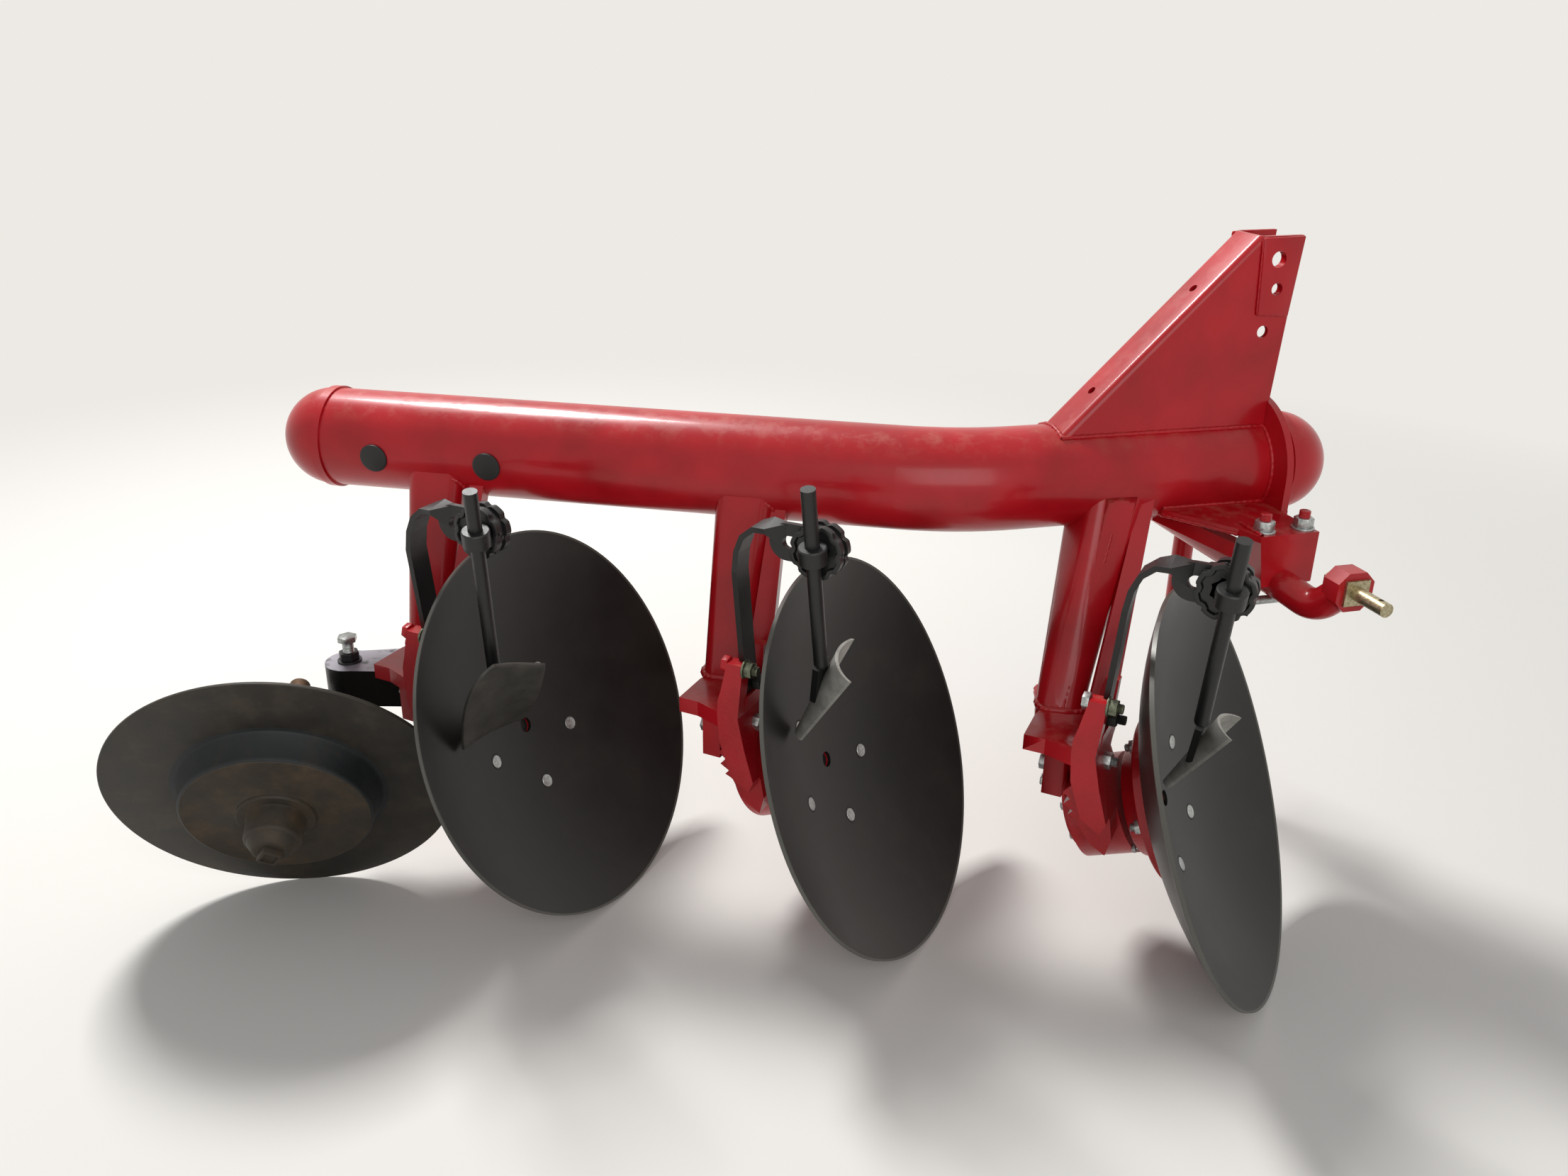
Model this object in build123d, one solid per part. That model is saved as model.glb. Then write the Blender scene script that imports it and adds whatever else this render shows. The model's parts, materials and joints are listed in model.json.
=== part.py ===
from build123d import *
import os
from math import cos, sin, tan, radians, sqrt

# Three-bottom tubular disc plough as it parks on level ground, in millimetres
# +X runs forward along the rear straight of the beam, +Y to the land side, +Z up

# Beam tube
tube_od = 168.3
tube_wall = 10.0
beam_height = 737.2
rear_length = 1072.0
front_length = 561.0
bend_angle = 26.2
bend_radius = 400.0
bend_corner = 95.0
cap_lip = 3.5
cap_skirt = 15.0
collar_place = 520.0
collar_radius = 123.0
collar_thickness = 12.0
plug_diameter = 48.0
plug_stand = 3.0
plug_root = 2.0
plug_slope = 5.5
plug_places = (-878.3, -676.2)

# Discs and their setting, places forward of the middle disc
disc_places = {"rear": -537.0, "middle": 0.0, "front": 552.0}
disc_diameter = 660.0
disc_thickness = 6.0
disc_depth = 95.0
disc_bore = 26.0
disc_angle = 14.9
disc_tilt = 22.3
disc_side = 146.0
bolt_circle = 211.0
bolt_count = 5
bolt_first = {"rear": 119.8, "middle": 125.3, "front": 103.1}
bolt_diameter = 14.0

# Hub that turns with the disc
flange_diameter = 270.0
flange_back = 128.0
boss_diameter = 110.0
boss_length = 14.0
spindle_diameter = 60.0
spindle_length = 70.0
spindle_fit = 0.05
running_gap = 6.0

# Hub casting, side profile behind and above the disc centre with the teeth in its back
housing_diameter = 164.0
housing_length = 84.0
housing_floor = 10.0
cover_diameter = 128.0
cover_thickness = 12.0
lug_profile = (
    (-197, 183), (-170, 183), (-172, 154), (-178, 89), (-166, 35), (-150, -20), (-158, -40), (-190, -20),
    (-211, 41), (-215, 90), (-214, 113), (-208, 134), (-203, 157),
)
toothed_profile = (
    (-214, 118), (-174, 118), (-178, 89), (-166, 35), (-150, -20), (-143, -60), (-150, -90), (-172, -78), (-190, -56),
    (-201, -38), (-214, -33), (-207, -25), (-223, -16), (-213, -5), (-226, 4), (-214, 19), (-215, 90),
)
far_profile = ((-190, 189), (-170, 189), (-174, 118), (-178, 89), (-215, 90), (-214, 113), (-203, 157))
near_lug = (-150.0, -125.0)
far_lug = (-76.0, -57.0)
toothed_far = -20.0

# Standard, the foot plate outline is behind and aside of the disc centre
column_top_size = (100.0, 100.0)
column_foot_size = (74.0, 84.0)
column_corner = 22.0
column_tops = {"rear": (-238.0, -26.0, 0.0), "middle": (-238.0, -26.0, 0.0), "front": (-239.6, 78.0, 26.2)}
column_foot_place = (-265.0, -83.0)
foot_level = 94.0
foot_thickness = 26.0
foot_outline = ((-293, -135), (-259, -135), (-213, -150), (-213, -20), (-285, 10), (-296, -62))
block_back = -262.0
block_front = -230.0
block_side = (-114.0, 20.0)
block_low = -13.0
pad_diameter = 60.0
pad_place = (-62.0, 40.0)

# Brace
brace_top_size = (22.0, 30.0)
brace_foot_size = (40.0, 26.0)
brace_tops = {"rear": (-160.0, -42.0), "middle": (-182.0, -42.0), "front": (-150.0, 98.0)}
brace_foot_place = (-203.0, -128.0, 420.0)

# Mast
mast_gap = 64.0
mast_plate = 8.0
mast_outline = ((158.6, 814.5), (464.0, 1117.0), (539.0, 1118.0), (524.0, 853.0))
mast_holes = ((496.2, 1082.3, 25.4), (500.6, 1036.1, 19.5), (490.6, 968.0, 19.5))
spine_thickness = 8.0
spine_holes = ((375.0, 1038.4), (212.6, 884.1))
spine_bore = 14.0
ear_outline = ((465, 1115), (473.7, 996.5), (528.7, 993), (539, 1118))
ear_thickness = 6.0

# Lower hitch
hitch_spread = 683.0
shaft_diameter = 50.0
shaft_place = 469.0
shaft_height = 604.0
crank_line = ((0.0, 240.0, 0.0), (18.0, 285.0, -14.0), (37.0, 325.0, 33.0))
crank_radius = 38.0
lug_thickness = 35.0
lug_size = 62.0
lug_chamfer = 16.0
pin_diameter = 22.0
pin_length = 70.0
pin_head = 40.0
pin_head_thickness = 5.0
pin_nut = 19.0
pin_nut_length = 18.0
pin_fit = 0.05
linch_bore = 8.0
linch_place = 56.0
bracket_plate = 10.0
bracket_top = 690.0
bracket_plan = ((332, 75), (402, 183), (415, 225), (520, 223), (520, 124), (532, 124), (532, 50), (332, 50))
bracket_outer = 223.0
bracket_inner = 161.0
bracket_side = ((417, 680), (520, 680), (520, 607), (500, 605), (431, 603))
strut_size = 25.0
strut_ends = ((352.0, -30.0, 670.0), (436.0, -172.0, 640.0))
clamp_rod = 14.0
clamp_places = (434.0, 504.0)
clamp_side = 202.0
clamp_stand = 24.0
clamp_nut = 12.2

# Scraper, places level, aside and above the disc centre
arm_width = 38.0
arm_thickness = 9.0
arm_stations = (
    # level, aside, height and turn of the bar about the hub line and about its own line
    (-182.0, -100.5, 120.0, 0.0, 0.0),
    (-160.0, -146.0, 340.0, 2.0, 0.0),
    (-155.0, -146.0, 372.0, 14.0, 0.0),
    (-144.0, -146.0, 397.0, 38.0, 0.0),
    (-126.0, -146.0, 412.0, 66.0, 0.0),
    (-106.0, -148.0, 417.0, 88.0, 12.0),
    (-78.0, -146.0, 406.0, 94.0, 90.0),
    (-60.0, -146.0, 404.0, 92.0, 90.0),
)
rosette_places = {
    "rear": (-24.0, -146.0, 390.0),
    "middle": (-42.0, -146.0, 403.0),
    "front": (-22.0, -146.0, 397.0),
}
eye_length = 112.0
eye_width = 58.0
eye_shift = -27.0
slot_length = 68.0
slot_width = 20.0
rosette_diameter = 66.0
rosette_lobes = 8
rosette_lobe = 20.0
rosette_turn = 20.0
rosette_thickness = 14.0
rosette_bolt = 16.0
arm_fit = 0.05
stem_diameter = 22.0
stem_ends = {
    "rear": ((1.7, -200.0, 468.0), (-30.4, -140.0, 149.0)),
    "middle": ((-41.6, -200.0, 507.3), (-41.2, -140.0, 215.7)),
    "front": ((-14.1, -200.0, 485.0), (-37.0, -140.0, 186.0)),
}
stem_foot_size = (34.0, 10.0)
collar_size = (42.0, 26.0)
blade_thickness = 5.0
blade_edges = {
    # three points along each end of the curved sheet
    "rear": (
        ((-59, -40, 5), (-16, -79, 84), (40, -100, 155)),
        ((-67, -188, 15), (-33, -205, 123), (12, -190, 186)),
    ),
    "middle": (
        ((-88, -100, 50), (-101, -88, 57), (-99, -72, 60)),
        ((20, -165, 209), (-17, -130, 230), (-11, -85, 239)),
    ),
    "front": (
        ((-78, -45, 8), (-86, -33, 11), (-77, -17, 7)),
        ((8, -140, 165), (-15, -105, 174), (10, -60, 163)),
    ),
}

# Furrow wheel and its arm
wheel_radius = 272.0
wheel_plate = 6.0
wheel_x = -942.0
wheel_y = -378.0
wheel_axis = (0.301, -0.865, -0.403)
wheel_dish = 22.0
wheel_step_radius = 138.0
wheel_step = 10.0
wheel_hub = ((46.0, 22.0), (33.0, 44.0))
wheel_nut = 34.0
wheel_nut_length = 24.0
wheel_bearing = 74.0
wheel_bearing_length = 70.0
axle_diameter = 30.0
axle_end = 205.0
sleeve_diameter = 56.0
sleeve_start = 100.0
sleeve_length_back = 88.0
pivot_place = (-930.0, -150.0)
pivot_diameter = 84.0
pivot_thickness = 68.0
pivot_root = (-800.0, -165.0, -60.0)
pivot_bolt = 20.0
pivot_bolt_top = 440.0
pivot_bolt_head = 30.0
pivot_head_thickness = 12.0
knuckle_low = 256.0
knuckle_diameter = 66.0
knuckle_bar = 36.0
spring_diameter = 34.0
spring_height = 22.0

# Parking stand
leg_diameter = 38.0
leg_wall = 4.0
leg_length = 700.0
leg_fit = 0.5
sleeve_wall = 6.0
sleeve_length = 90.0
stand_side = 175.0
foot_pad = 110.0
pad_plate = 8.0
stand_travel = 350.0

lowest = (Align.CENTER, Align.CENTER, Align.MIN)
highest = (Align.CENTER, Align.CENTER, Align.MAX)
shapes = {}

# Frame of the hitch, whose x runs along the line of travel from the bend of the beam
hitch = Plane(
    origin=(bend_corner, 0, 0),
    x_dir=(cos(radians(bend_angle)), sin(radians(bend_angle)), 0),
    z_dir=(0, 0, 1),
)


def hitch_point(u, v, z):
    return hitch.from_local_coords(Vector(u, v, z))


def hitch_side(sketch, v, thickness):
    side = Plane(origin=hitch_point(0, v, 0), x_dir=hitch.x_dir, z_dir=-hitch.y_dir)
    return extrude(side * sketch, thickness)


def rod(start, end, diameter):
    start = Vector(*start)
    end = Vector(*end)
    place = Plane(origin=start, z_dir=(end - start).normalized())
    return place * Cylinder(diameter / 2, (end - start).length, align=lowest)


def closed(*points):
    return make_face(Polyline(*points, close=True))


# Beam tube, rear straight, bend and front straight
bend_tangent = bend_radius * tan(radians(bend_angle / 2))
rear_end = Vector(bend_corner - rear_length, 0, beam_height)
bend_start = Vector(bend_corner - bend_tangent, 0, beam_height)
bend_end = hitch_point(bend_tangent, 0, beam_height)
front_end = hitch_point(front_length, 0, beam_height)
beam_line = Wire([
    Edge.make_line(rear_end, bend_start),
    Edge.make_tangent_arc(bend_start, Vector(1, 0, 0), bend_end),
    Edge.make_line(bend_end, front_end),
])
beam_section = Plane(origin=rear_end, x_dir=(0, 1, 0), z_dir=(1, 0, 0))
beam_solid = sweep(beam_section * Circle(tube_od / 2), path=beam_line)
beam_hollow = sweep(beam_section * Circle(tube_od / 2 - tube_wall), path=beam_line)
shapes["beam_tube"] = beam_solid - beam_hollow


# End caps, domed, each with a lip a little proud of the tube
def cap(place):
    lip = Cylinder(tube_od / 2 + cap_lip, cap_skirt, align=lowest)
    dome = split(Sphere(tube_od / 2), bisect_by=Plane.XY, keep=Keep.TOP)
    return place * (lip + Pos(0, 0, cap_skirt) * dome)


shapes["rear_cap"] = cap(Plane(origin=rear_end, x_dir=(0, 1, 0), z_dir=(-1, 0, 0)))
shapes["front_cap"] = cap(Plane(origin=front_end, x_dir=(0, 0, 1), z_dir=hitch.x_dir))

# Collar plate across the front of the tube, round above and straight down to the brackets
collar_drop = beam_height - bracket_top
collar_face = Circle(collar_radius) + Pos(0, -collar_drop / 2) * Rectangle(2 * collar_radius, collar_drop)
collar_face = collar_face - Pos(0, -collar_drop - collar_radius) * Rectangle(4 * collar_radius, 2 * collar_radius)
collar_plane = Plane(origin=hitch_point(collar_place, 0, beam_height), x_dir=hitch.y_dir, z_dir=hitch.x_dir)
shapes["front_collar"] = extrude(collar_plane * collar_face, collar_thickness) - beam_solid

# Plugs in the near wall of the tube
plugs = Part()
plug_out = Vector(0, -cos(radians(plug_slope)), -sin(radians(plug_slope)))
for plug_x in plug_places:
    seat = Vector(plug_x, 0, beam_height) + plug_out * (tube_od / 2 - plug_root)
    plug_plane = Plane(origin=seat, x_dir=(1, 0, 0), z_dir=plug_out)
    plugs = plugs + plug_plane * Cylinder(plug_diameter / 2, plug_root + plug_stand, align=lowest)
shapes["tube_plugs"] = plugs - beam_solid

# Mast, two plates joined by a sloping spine
mast_base, mast_base_height = mast_outline[0]
mast_top_rear, mast_top = mast_outline[1]
mast_face = closed(*mast_outline, (mast_outline[-1][0], beam_height), (mast_base, beam_height))
for name, side in (("near", -1), ("far", 1)):
    inner = side * mast_gap / 2
    outer = side * (mast_gap / 2 + mast_plate)
    proud = side * (mast_gap / 2 + mast_plate + ear_thickness)
    plate = hitch_side(mast_face, max(inner, outer), mast_plate)
    plate = plate + hitch_side(closed(*ear_outline), max(outer, proud), ear_thickness)
    for u, z, bore in mast_holes:
        plate = plate - hitch_side(Pos(u, z) * Circle(bore / 2), mast_gap, 2 * mast_gap)
    shapes["mast_plate_" + name] = plate - beam_solid - shapes["front_collar"]
slope = Vector(mast_top_rear - mast_base, mast_top - mast_base_height).normalized()
inward = Vector(slope.Y, -slope.X) * spine_thickness
spine_face = closed(
    (mast_base, beam_height),
    (mast_base, mast_base_height),
    (mast_top_rear, mast_top),
    (mast_top_rear + inward.X, mast_top + inward.Y),
    (mast_base + spine_thickness, mast_base_height + inward.Y),
    (mast_base + spine_thickness, beam_height),
)
spine = hitch_side(spine_face, mast_gap / 2, mast_gap)
for u, z in spine_holes:
    normal = hitch.x_dir * -slope.Y + Vector(0, 0, slope.X)
    spine = spine - Plane(origin=hitch_point(u, 0, z), z_dir=normal) * Cylinder(spine_bore / 2, 4 * spine_thickness)
shapes["mast_spine"] = spine - beam_solid

# Hitch brackets under the front of the beam
shaft_plane = Plane(origin=hitch_point(shaft_place, 0, shaft_height), x_dir=(0, 0, 1), z_dir=hitch.y_dir)
shaft_room = shaft_plane * Cylinder(shaft_diameter / 2, 2 * hitch_spread)
under = Plane(origin=hitch_point(0, 0, bracket_top), x_dir=hitch.x_dir, z_dir=(0, 0, 1))
for name, side in (("near", -1), ("far", 1)):
    plate = extrude(under * closed(*[(u, side * v) for u, v in bracket_plan]), bracket_plate, dir=(0, 0, -1))
    outer = side * bracket_outer
    inner = side * bracket_inner
    box = hitch_side(closed(*bracket_side), max(outer, inner), bracket_outer - bracket_inner)
    bracket = plate + box - shaft_room
    for u in clamp_places:
        bore = under * Pos(u, side * clamp_side) * Cylinder(clamp_rod / 2, 4 * (bracket_top - shaft_height))
        bracket = bracket - bore
    shapes["hitch_bracket_" + name] = bracket - beam_solid

# Clamp rods that tie each bracket down on the cross shaft
clamp_low = shaft_height - shaft_diameter / 2 - clamp_rod / 2
for name, side in (("near", -1), ("far", 1)):
    clamp = Part()
    for u in clamp_places:
        low = hitch_point(u, side * clamp_side, clamp_low)
        high = hitch_point(u, side * clamp_side, bracket_top + clamp_stand)
        nut = Pos(low.X, low.Y, bracket_top) * extrude(RegularPolygon(clamp_nut, 6), clamp_rod)
        clamp = clamp + rod(low, high, clamp_rod) + nut
    first = hitch_point(clamp_places[0], side * clamp_side, clamp_low)
    last = hitch_point(clamp_places[1], side * clamp_side, clamp_low)
    clamp = clamp + rod(first, last, clamp_rod)
    shapes["shaft_clamp_" + name] = clamp - shaft_room

# Cross shaft with its two cranked ends
half = hitch_spread / 2
lug_inner = half - lug_thickness
pin_forward, lug_reach, pin_rise = crank_line[-1]
stations = [(u, -v, z) for u, v, z in reversed(crank_line)] + list(crank_line)
stations = [hitch_point(shaft_place + u, v, shaft_height + z) for u, v, z in stations]
shaft_line = FilletPolyline(*stations, radius=crank_radius)
shaft = sweep(Plane(origin=shaft_line @ 0, z_dir=shaft_line % 0) * Circle(shaft_diameter / 2), path=shaft_line)
pin_centre = hitch_point(shaft_place + pin_forward, 0, shaft_height + pin_rise)
for side in (-1, 1):
    outward = hitch.y_dir * side
    lug_plane = Plane(origin=pin_centre + outward * lug_inner, x_dir=(0, 0, 1), z_dir=outward)
    lug_face = chamfer(Rectangle(lug_size, lug_size).vertices(), lug_chamfer)
    beyond = lug_plane.offset(lug_thickness) * Cylinder(2 * lug_size, 4 * lug_thickness, align=lowest)
    shaft = shaft + extrude(lug_plane * lug_face, lug_thickness) - beyond
pin_bore = Plane(origin=pin_centre, x_dir=(0, 0, 1), z_dir=hitch.y_dir)
shaft = shaft - pin_bore * Cylinder(pin_diameter / 2 + pin_fit, 2 * hitch_spread)
for name, side in (("near", -1), ("far", 1)):
    outward = hitch.y_dir * side
    face = Plane(origin=pin_centre + outward * half, x_dir=(0, 0, 1), z_dir=outward)
    pin = face * Cylinder(pin_diameter / 2, pin_length, align=lowest)
    pin = pin + face * Box(pin_head, pin_head, pin_head_thickness, align=lowest)
    pin = pin + face * Cylinder(pin_diameter / 2, lug_thickness + pin_nut_length, align=highest)
    inner_face = face.offset(-lug_thickness - pin_nut_length)
    pin = pin + extrude(inner_face * RegularPolygon(pin_nut, 6), pin_nut_length)
    linch = Plane(origin=face.origin + outward * linch_place, z_dir=(0, 0, 1))
    pin = pin - linch * Cylinder(linch_bore / 2, 2 * pin_diameter)
    room = extrude(face.offset(-lug_thickness) * RegularPolygon(pin_nut + 2, 6), -2 * lug_thickness)
    shaft = shaft - room
    shapes["lower_pin_" + name] = pin
shapes["cross_shaft"] = shaft

# Strut from the underside of the beam to the near bracket
strut_start = hitch_point(*strut_ends[0])
strut_run = hitch_point(*strut_ends[1]) - strut_start
strut = Plane(origin=strut_start, z_dir=strut_run.normalized()) * Box(
    strut_size, strut_size, strut_run.length, align=lowest
)
shapes["strut"] = strut - beam_solid - shapes["hitch_bracket_near"]

# Parking stand on the land side, its sleeve on the front of the far bracket
sleeve_radius = leg_diameter / 2 + leg_fit + sleeve_wall
leg_place = hitch_point(collar_place + sleeve_radius, stand_side, 0)
leg = Pos(0, 0, pad_plate) * Cylinder(leg_diameter / 2, leg_length - pad_plate, align=lowest)
leg = leg - Pos(0, 0, pad_plate) * Cylinder(leg_diameter / 2 - leg_wall, leg_length, align=lowest)
leg = leg + Cylinder(foot_pad / 2, pad_plate, align=lowest)
shapes["stand_leg"] = Pos(leg_place.X, leg_place.Y, 0) * leg
sleeve = Cylinder(sleeve_radius, sleeve_length, align=lowest)
sleeve = sleeve - Cylinder(leg_diameter / 2 + leg_fit, sleeve_length, align=lowest)
sleeve = Pos(leg_place.X, leg_place.Y, bracket_top - sleeve_length) * sleeve
web = hitch_side(
    closed(
        (collar_place, bracket_top), (collar_place, bracket_top - sleeve_length),
        (collar_place + sleeve_wall, bracket_top - sleeve_length), (collar_place + sleeve_wall, bracket_top),
    ),
    stand_side + sleeve_radius, 2 * sleeve_radius,
)
leg_room = Pos(leg_place.X, leg_place.Y, 0) * Cylinder(leg_diameter / 2 + leg_fit, leg_length, align=lowest)
shapes["stand_sleeve"] = sleeve + web - leg_room - shapes["hitch_bracket_far"]

# Disc bottoms, three alike along the beam
sphere_radius = ((disc_diameter / 2) ** 2 + disc_depth**2) / (2 * disc_depth)
sphere_centre = sphere_radius - disc_depth
rim_back = sqrt((sphere_radius + disc_thickness) ** 2 - (disc_diameter / 2) ** 2) - sphere_centre
disc_height = disc_diameter / 2 * cos(radians(disc_tilt)) + rim_back * sin(radians(disc_tilt))
shell = Pos(0, 0, sphere_centre) * (Sphere(sphere_radius + disc_thickness) - Sphere(sphere_radius))
shell = shell & Cylinder(disc_diameter / 2, 2 * disc_depth, align=highest)
shell = shell - Cylinder(disc_bore / 2, 4 * disc_depth)
for index in range(bolt_count):
    turn = Rot(0, 0, index * 360 / bolt_count)
    shell = shell - turn * Pos(bolt_circle / 2, 0, 0) * Cylinder(bolt_diameter / 2, 4 * disc_depth)
flange = Pos(0, 0, -flange_back) * Cylinder(flange_diameter / 2, flange_back, align=lowest)
flange = flange - Pos(0, 0, sphere_centre) * Sphere(sphere_radius + disc_thickness)
hub = flange + Pos(0, 0, -flange_back) * Cylinder(boss_diameter / 2, boss_length, align=highest)
boss_back = -flange_back - boss_length
hub = hub + Pos(0, 0, boss_back) * Cylinder(spindle_diameter / 2, spindle_length, align=highest)
housing_front = boss_back - running_gap
round_body = Pos(0, 0, housing_front) * Cylinder(housing_diameter / 2, housing_length, align=highest)
round_body = round_body + Pos(0, 0, housing_front - housing_length) * Cylinder(
    cover_diameter / 2, cover_thickness, align=highest
)
spindle_room = Pos(0, 0, housing_front) * Cylinder(
    spindle_diameter / 2 + spindle_fit, housing_length - housing_floor, align=highest
)
hub_room = Pos(0, 0, housing_front) * Cylinder(
    flange_diameter / 2 + running_gap, flange_diameter, align=lowest
)
upward = Vector(0, 0, 1)
level = Vector(cos(radians(disc_angle)), -sin(radians(disc_angle)), 0)
aside = Vector(sin(radians(disc_angle)), cos(radians(disc_angle)), 0)
disc_axis = level * cos(radians(disc_tilt)) + upward * sin(radians(disc_tilt))
foot_top = disc_height + foot_level
column_rise = beam_height - foot_top


# Solid of an outline seen from the side, between two places aside of the disc centre
def across(knuckle, points, start, end):
    side = Plane(origin=knuckle.from_local_coords(Vector(0, start, 0)), x_dir=knuckle.x_dir, z_dir=-knuckle.y_dir)
    return extrude(side * closed(*points), start - end)


for name, x in disc_places.items():
    centre = Vector(x, -disc_side, disc_height)
    knuckle = Plane(origin=centre, x_dir=level, z_dir=(0, 0, 1))
    hub_plane = Plane(origin=centre, x_dir=aside, z_dir=disc_axis)
    shapes["disc_" + name] = hub_plane * Rot(0, 0, bolt_first[name]) * shell
    shapes["hub_" + name] = hub_plane * hub

    # Hub casting, two lugs above a toothed cheek and the round bearing body
    casting = across(knuckle, lug_profile, *near_lug) + across(knuckle, far_profile, *far_lug)
    casting = casting + across(knuckle, toothed_profile, near_lug[1], toothed_far)
    casting = casting + hub_plane * round_body
    casting = casting - hub_plane * hub_room - hub_plane * spindle_room
    shapes["housing_" + name] = casting

    # Standard with its foot and the upright block that takes the hub casting
    top_x, top_y, top_turn = column_tops[name]
    column = loft([
        (Plane(origin=(x + column_foot_place[0], column_foot_place[1], foot_top - foot_thickness))
            * RectangleRounded(*column_foot_size, column_corner)).face(),
        (Plane(origin=(x + top_x, top_y, beam_height)) * Rot(0, 0, top_turn)
            * RectangleRounded(*column_top_size, column_corner)).face(),
    ])
    foot_plane = knuckle.offset(foot_level - foot_thickness)
    foot = extrude(foot_plane * closed(*foot_outline), foot_thickness)
    block = across(
        knuckle,
        ((block_back, block_low), (block_front, block_low), (block_front, foot_level), (block_back, foot_level)),
        *block_side,
    )
    pad_at = knuckle.from_local_coords(Vector(block_front, *pad_place))
    pad = Plane(origin=pad_at, x_dir=aside, z_dir=level) * Cylinder(
        pad_diameter / 2, block_front - block_back, align=lowest
    )
    standard = column + foot + block + pad
    shapes["standard_" + name] = standard - beam_solid - shapes["housing_" + name]

    # Brace beside the standard
    brace_low = Vector(x + brace_foot_place[0], brace_foot_place[1], brace_foot_place[2])
    brace_high = Vector(x + brace_tops[name][0], brace_tops[name][1], beam_height)
    brace = loft([
        (Plane(origin=brace_low) * Rectangle(*brace_foot_size)).face(),
        (Plane(origin=brace_high) * Rectangle(*brace_top_size)).face(),
    ])
    shapes["brace_" + name] = brace - beam_solid - standard - shapes["housing_" + name]

    # Scraper arm, a flat bar bent over and twisted on its way to the slotted eye
    rosette_place = Vector(*rosette_places[name])
    usual_place = Vector(*rosette_places["front"])
    sections = []
    for e, p, z, turn, twist in arm_stations:
        along = Vector(sin(radians(turn)), 0, cos(radians(turn)))
        thin = Vector(cos(radians(turn)), 0, -sin(radians(turn)))
        wide = Vector(0, 1, 0)
        thin_now = thin * cos(radians(twist)) + wide * sin(radians(twist))
        reach = (z - arm_stations[0][2]) / (usual_place.Z - arm_stations[0][2])
        at = Vector(e, p, z) + (rosette_place - usual_place) * min(max(reach, 0), 1)
        place = Plane(
            origin=knuckle.from_local_coords(at),
            x_dir=level * thin_now.X + aside * thin_now.Y + upward * thin_now.Z,
            z_dir=level * along.X + aside * along.Y + upward * along.Z,
        )
        sections.append((place * Rectangle(arm_thickness, arm_width)).face())
    arm = loft(sections, ruled=True)
    rosette_at = knuckle.from_local_coords(rosette_place)
    rosette_plane = Plane(origin=rosette_at, x_dir=level, z_dir=knuckle.y_dir)
    eye = extrude(SlotOverall(eye_length, eye_width), arm_thickness / 2, both=True)
    slot = extrude(SlotOverall(slot_length, slot_width), arm_width, both=True)
    arm = arm + rosette_plane * Pos(eye_shift, 0, 0) * eye - rosette_plane * Pos(eye_shift, 0, 0) * slot

    # Clamp of two lobed castings with the collar that grips the scraper stem
    lobed = Cylinder(rosette_diameter / 2, rosette_thickness)
    for index in range(rosette_lobes):
        lobe = Pos(rosette_diameter / 2 - 2, 0, 0) * Cylinder(rosette_lobe / 2, rosette_thickness)
        lobed = lobed + Rot(0, 0, index * 360 / rosette_lobes) * lobe
    reach = (arm_thickness + rosette_thickness) / 2
    clamp = rosette_plane * (Pos(0, 0, reach) * lobed + Pos(0, 0, -reach) * Rot(0, 0, rosette_turn) * lobed)
    clamp = clamp + rosette_plane * Cylinder(rosette_bolt / 2, 2 * reach)
    stem_high, stem_low = [knuckle.from_local_coords(Vector(*end)) for end in stem_ends[name]]
    stem_up = (stem_high - stem_low).normalized()
    grip = Plane(origin=stem_low + stem_up * ((rosette_at.Z - stem_low.Z) / stem_up.Z), z_dir=stem_up)
    clamp = clamp + grip * Cylinder(collar_size[0] / 2, collar_size[1])
    clamp = clamp - grip * Cylinder(stem_diameter / 2 + arm_fit, 8 * collar_size[1])
    shapes["scraper_arm_" + name] = arm - clamp - shapes["housing_" + name] - shapes["brace_" + name]
    shapes["scraper_clamp_" + name] = clamp

    # Scraper blade, a curved sheet, and the stem whose flattened foot carries it
    edges = []
    for points in blade_edges[name]:
        start, middle, end = [knuckle.from_local_coords(Vector(*point)) for point in points]
        chord_up = (end - start).normalized()
        bulge = middle - (start + end) * 0.5
        bulge = (bulge - chord_up * bulge.dot(chord_up)).normalized()
        back_points = [point + bulge * blade_thickness for point in (start, middle, end)]
        outline = Wire([
            Edge.make_three_point_arc(start, middle, end),
            Edge.make_line(end, back_points[2]),
            Edge.make_three_point_arc(back_points[2], back_points[1], back_points[0]),
            Edge.make_line(back_points[0], start),
        ])
        edges.append(Face(outline))
    blade = loft(edges, ruled=True)
    blade_middle = (Vector(*blade_edges[name][0][1]) + Vector(*blade_edges[name][1][1])) * 0.5
    foot_line = knuckle.from_local_coords(blade_middle) - stem_low
    foot_plane = Plane(origin=stem_low, x_dir=knuckle.y_dir, z_dir=foot_line.normalized())
    stem_flat = foot_plane * Box(stem_foot_size[0], stem_foot_size[1], foot_line.length, align=lowest)
    stem = rod(stem_low, stem_high, stem_diameter) + stem_flat + foot_plane * Sphere(stem_diameter / 2)
    shapes["scraper_blade_" + name] = blade
    shapes["scraper_stem_" + name] = (stem - blade).solids().sort_by(SortBy.VOLUME)[-1]

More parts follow.
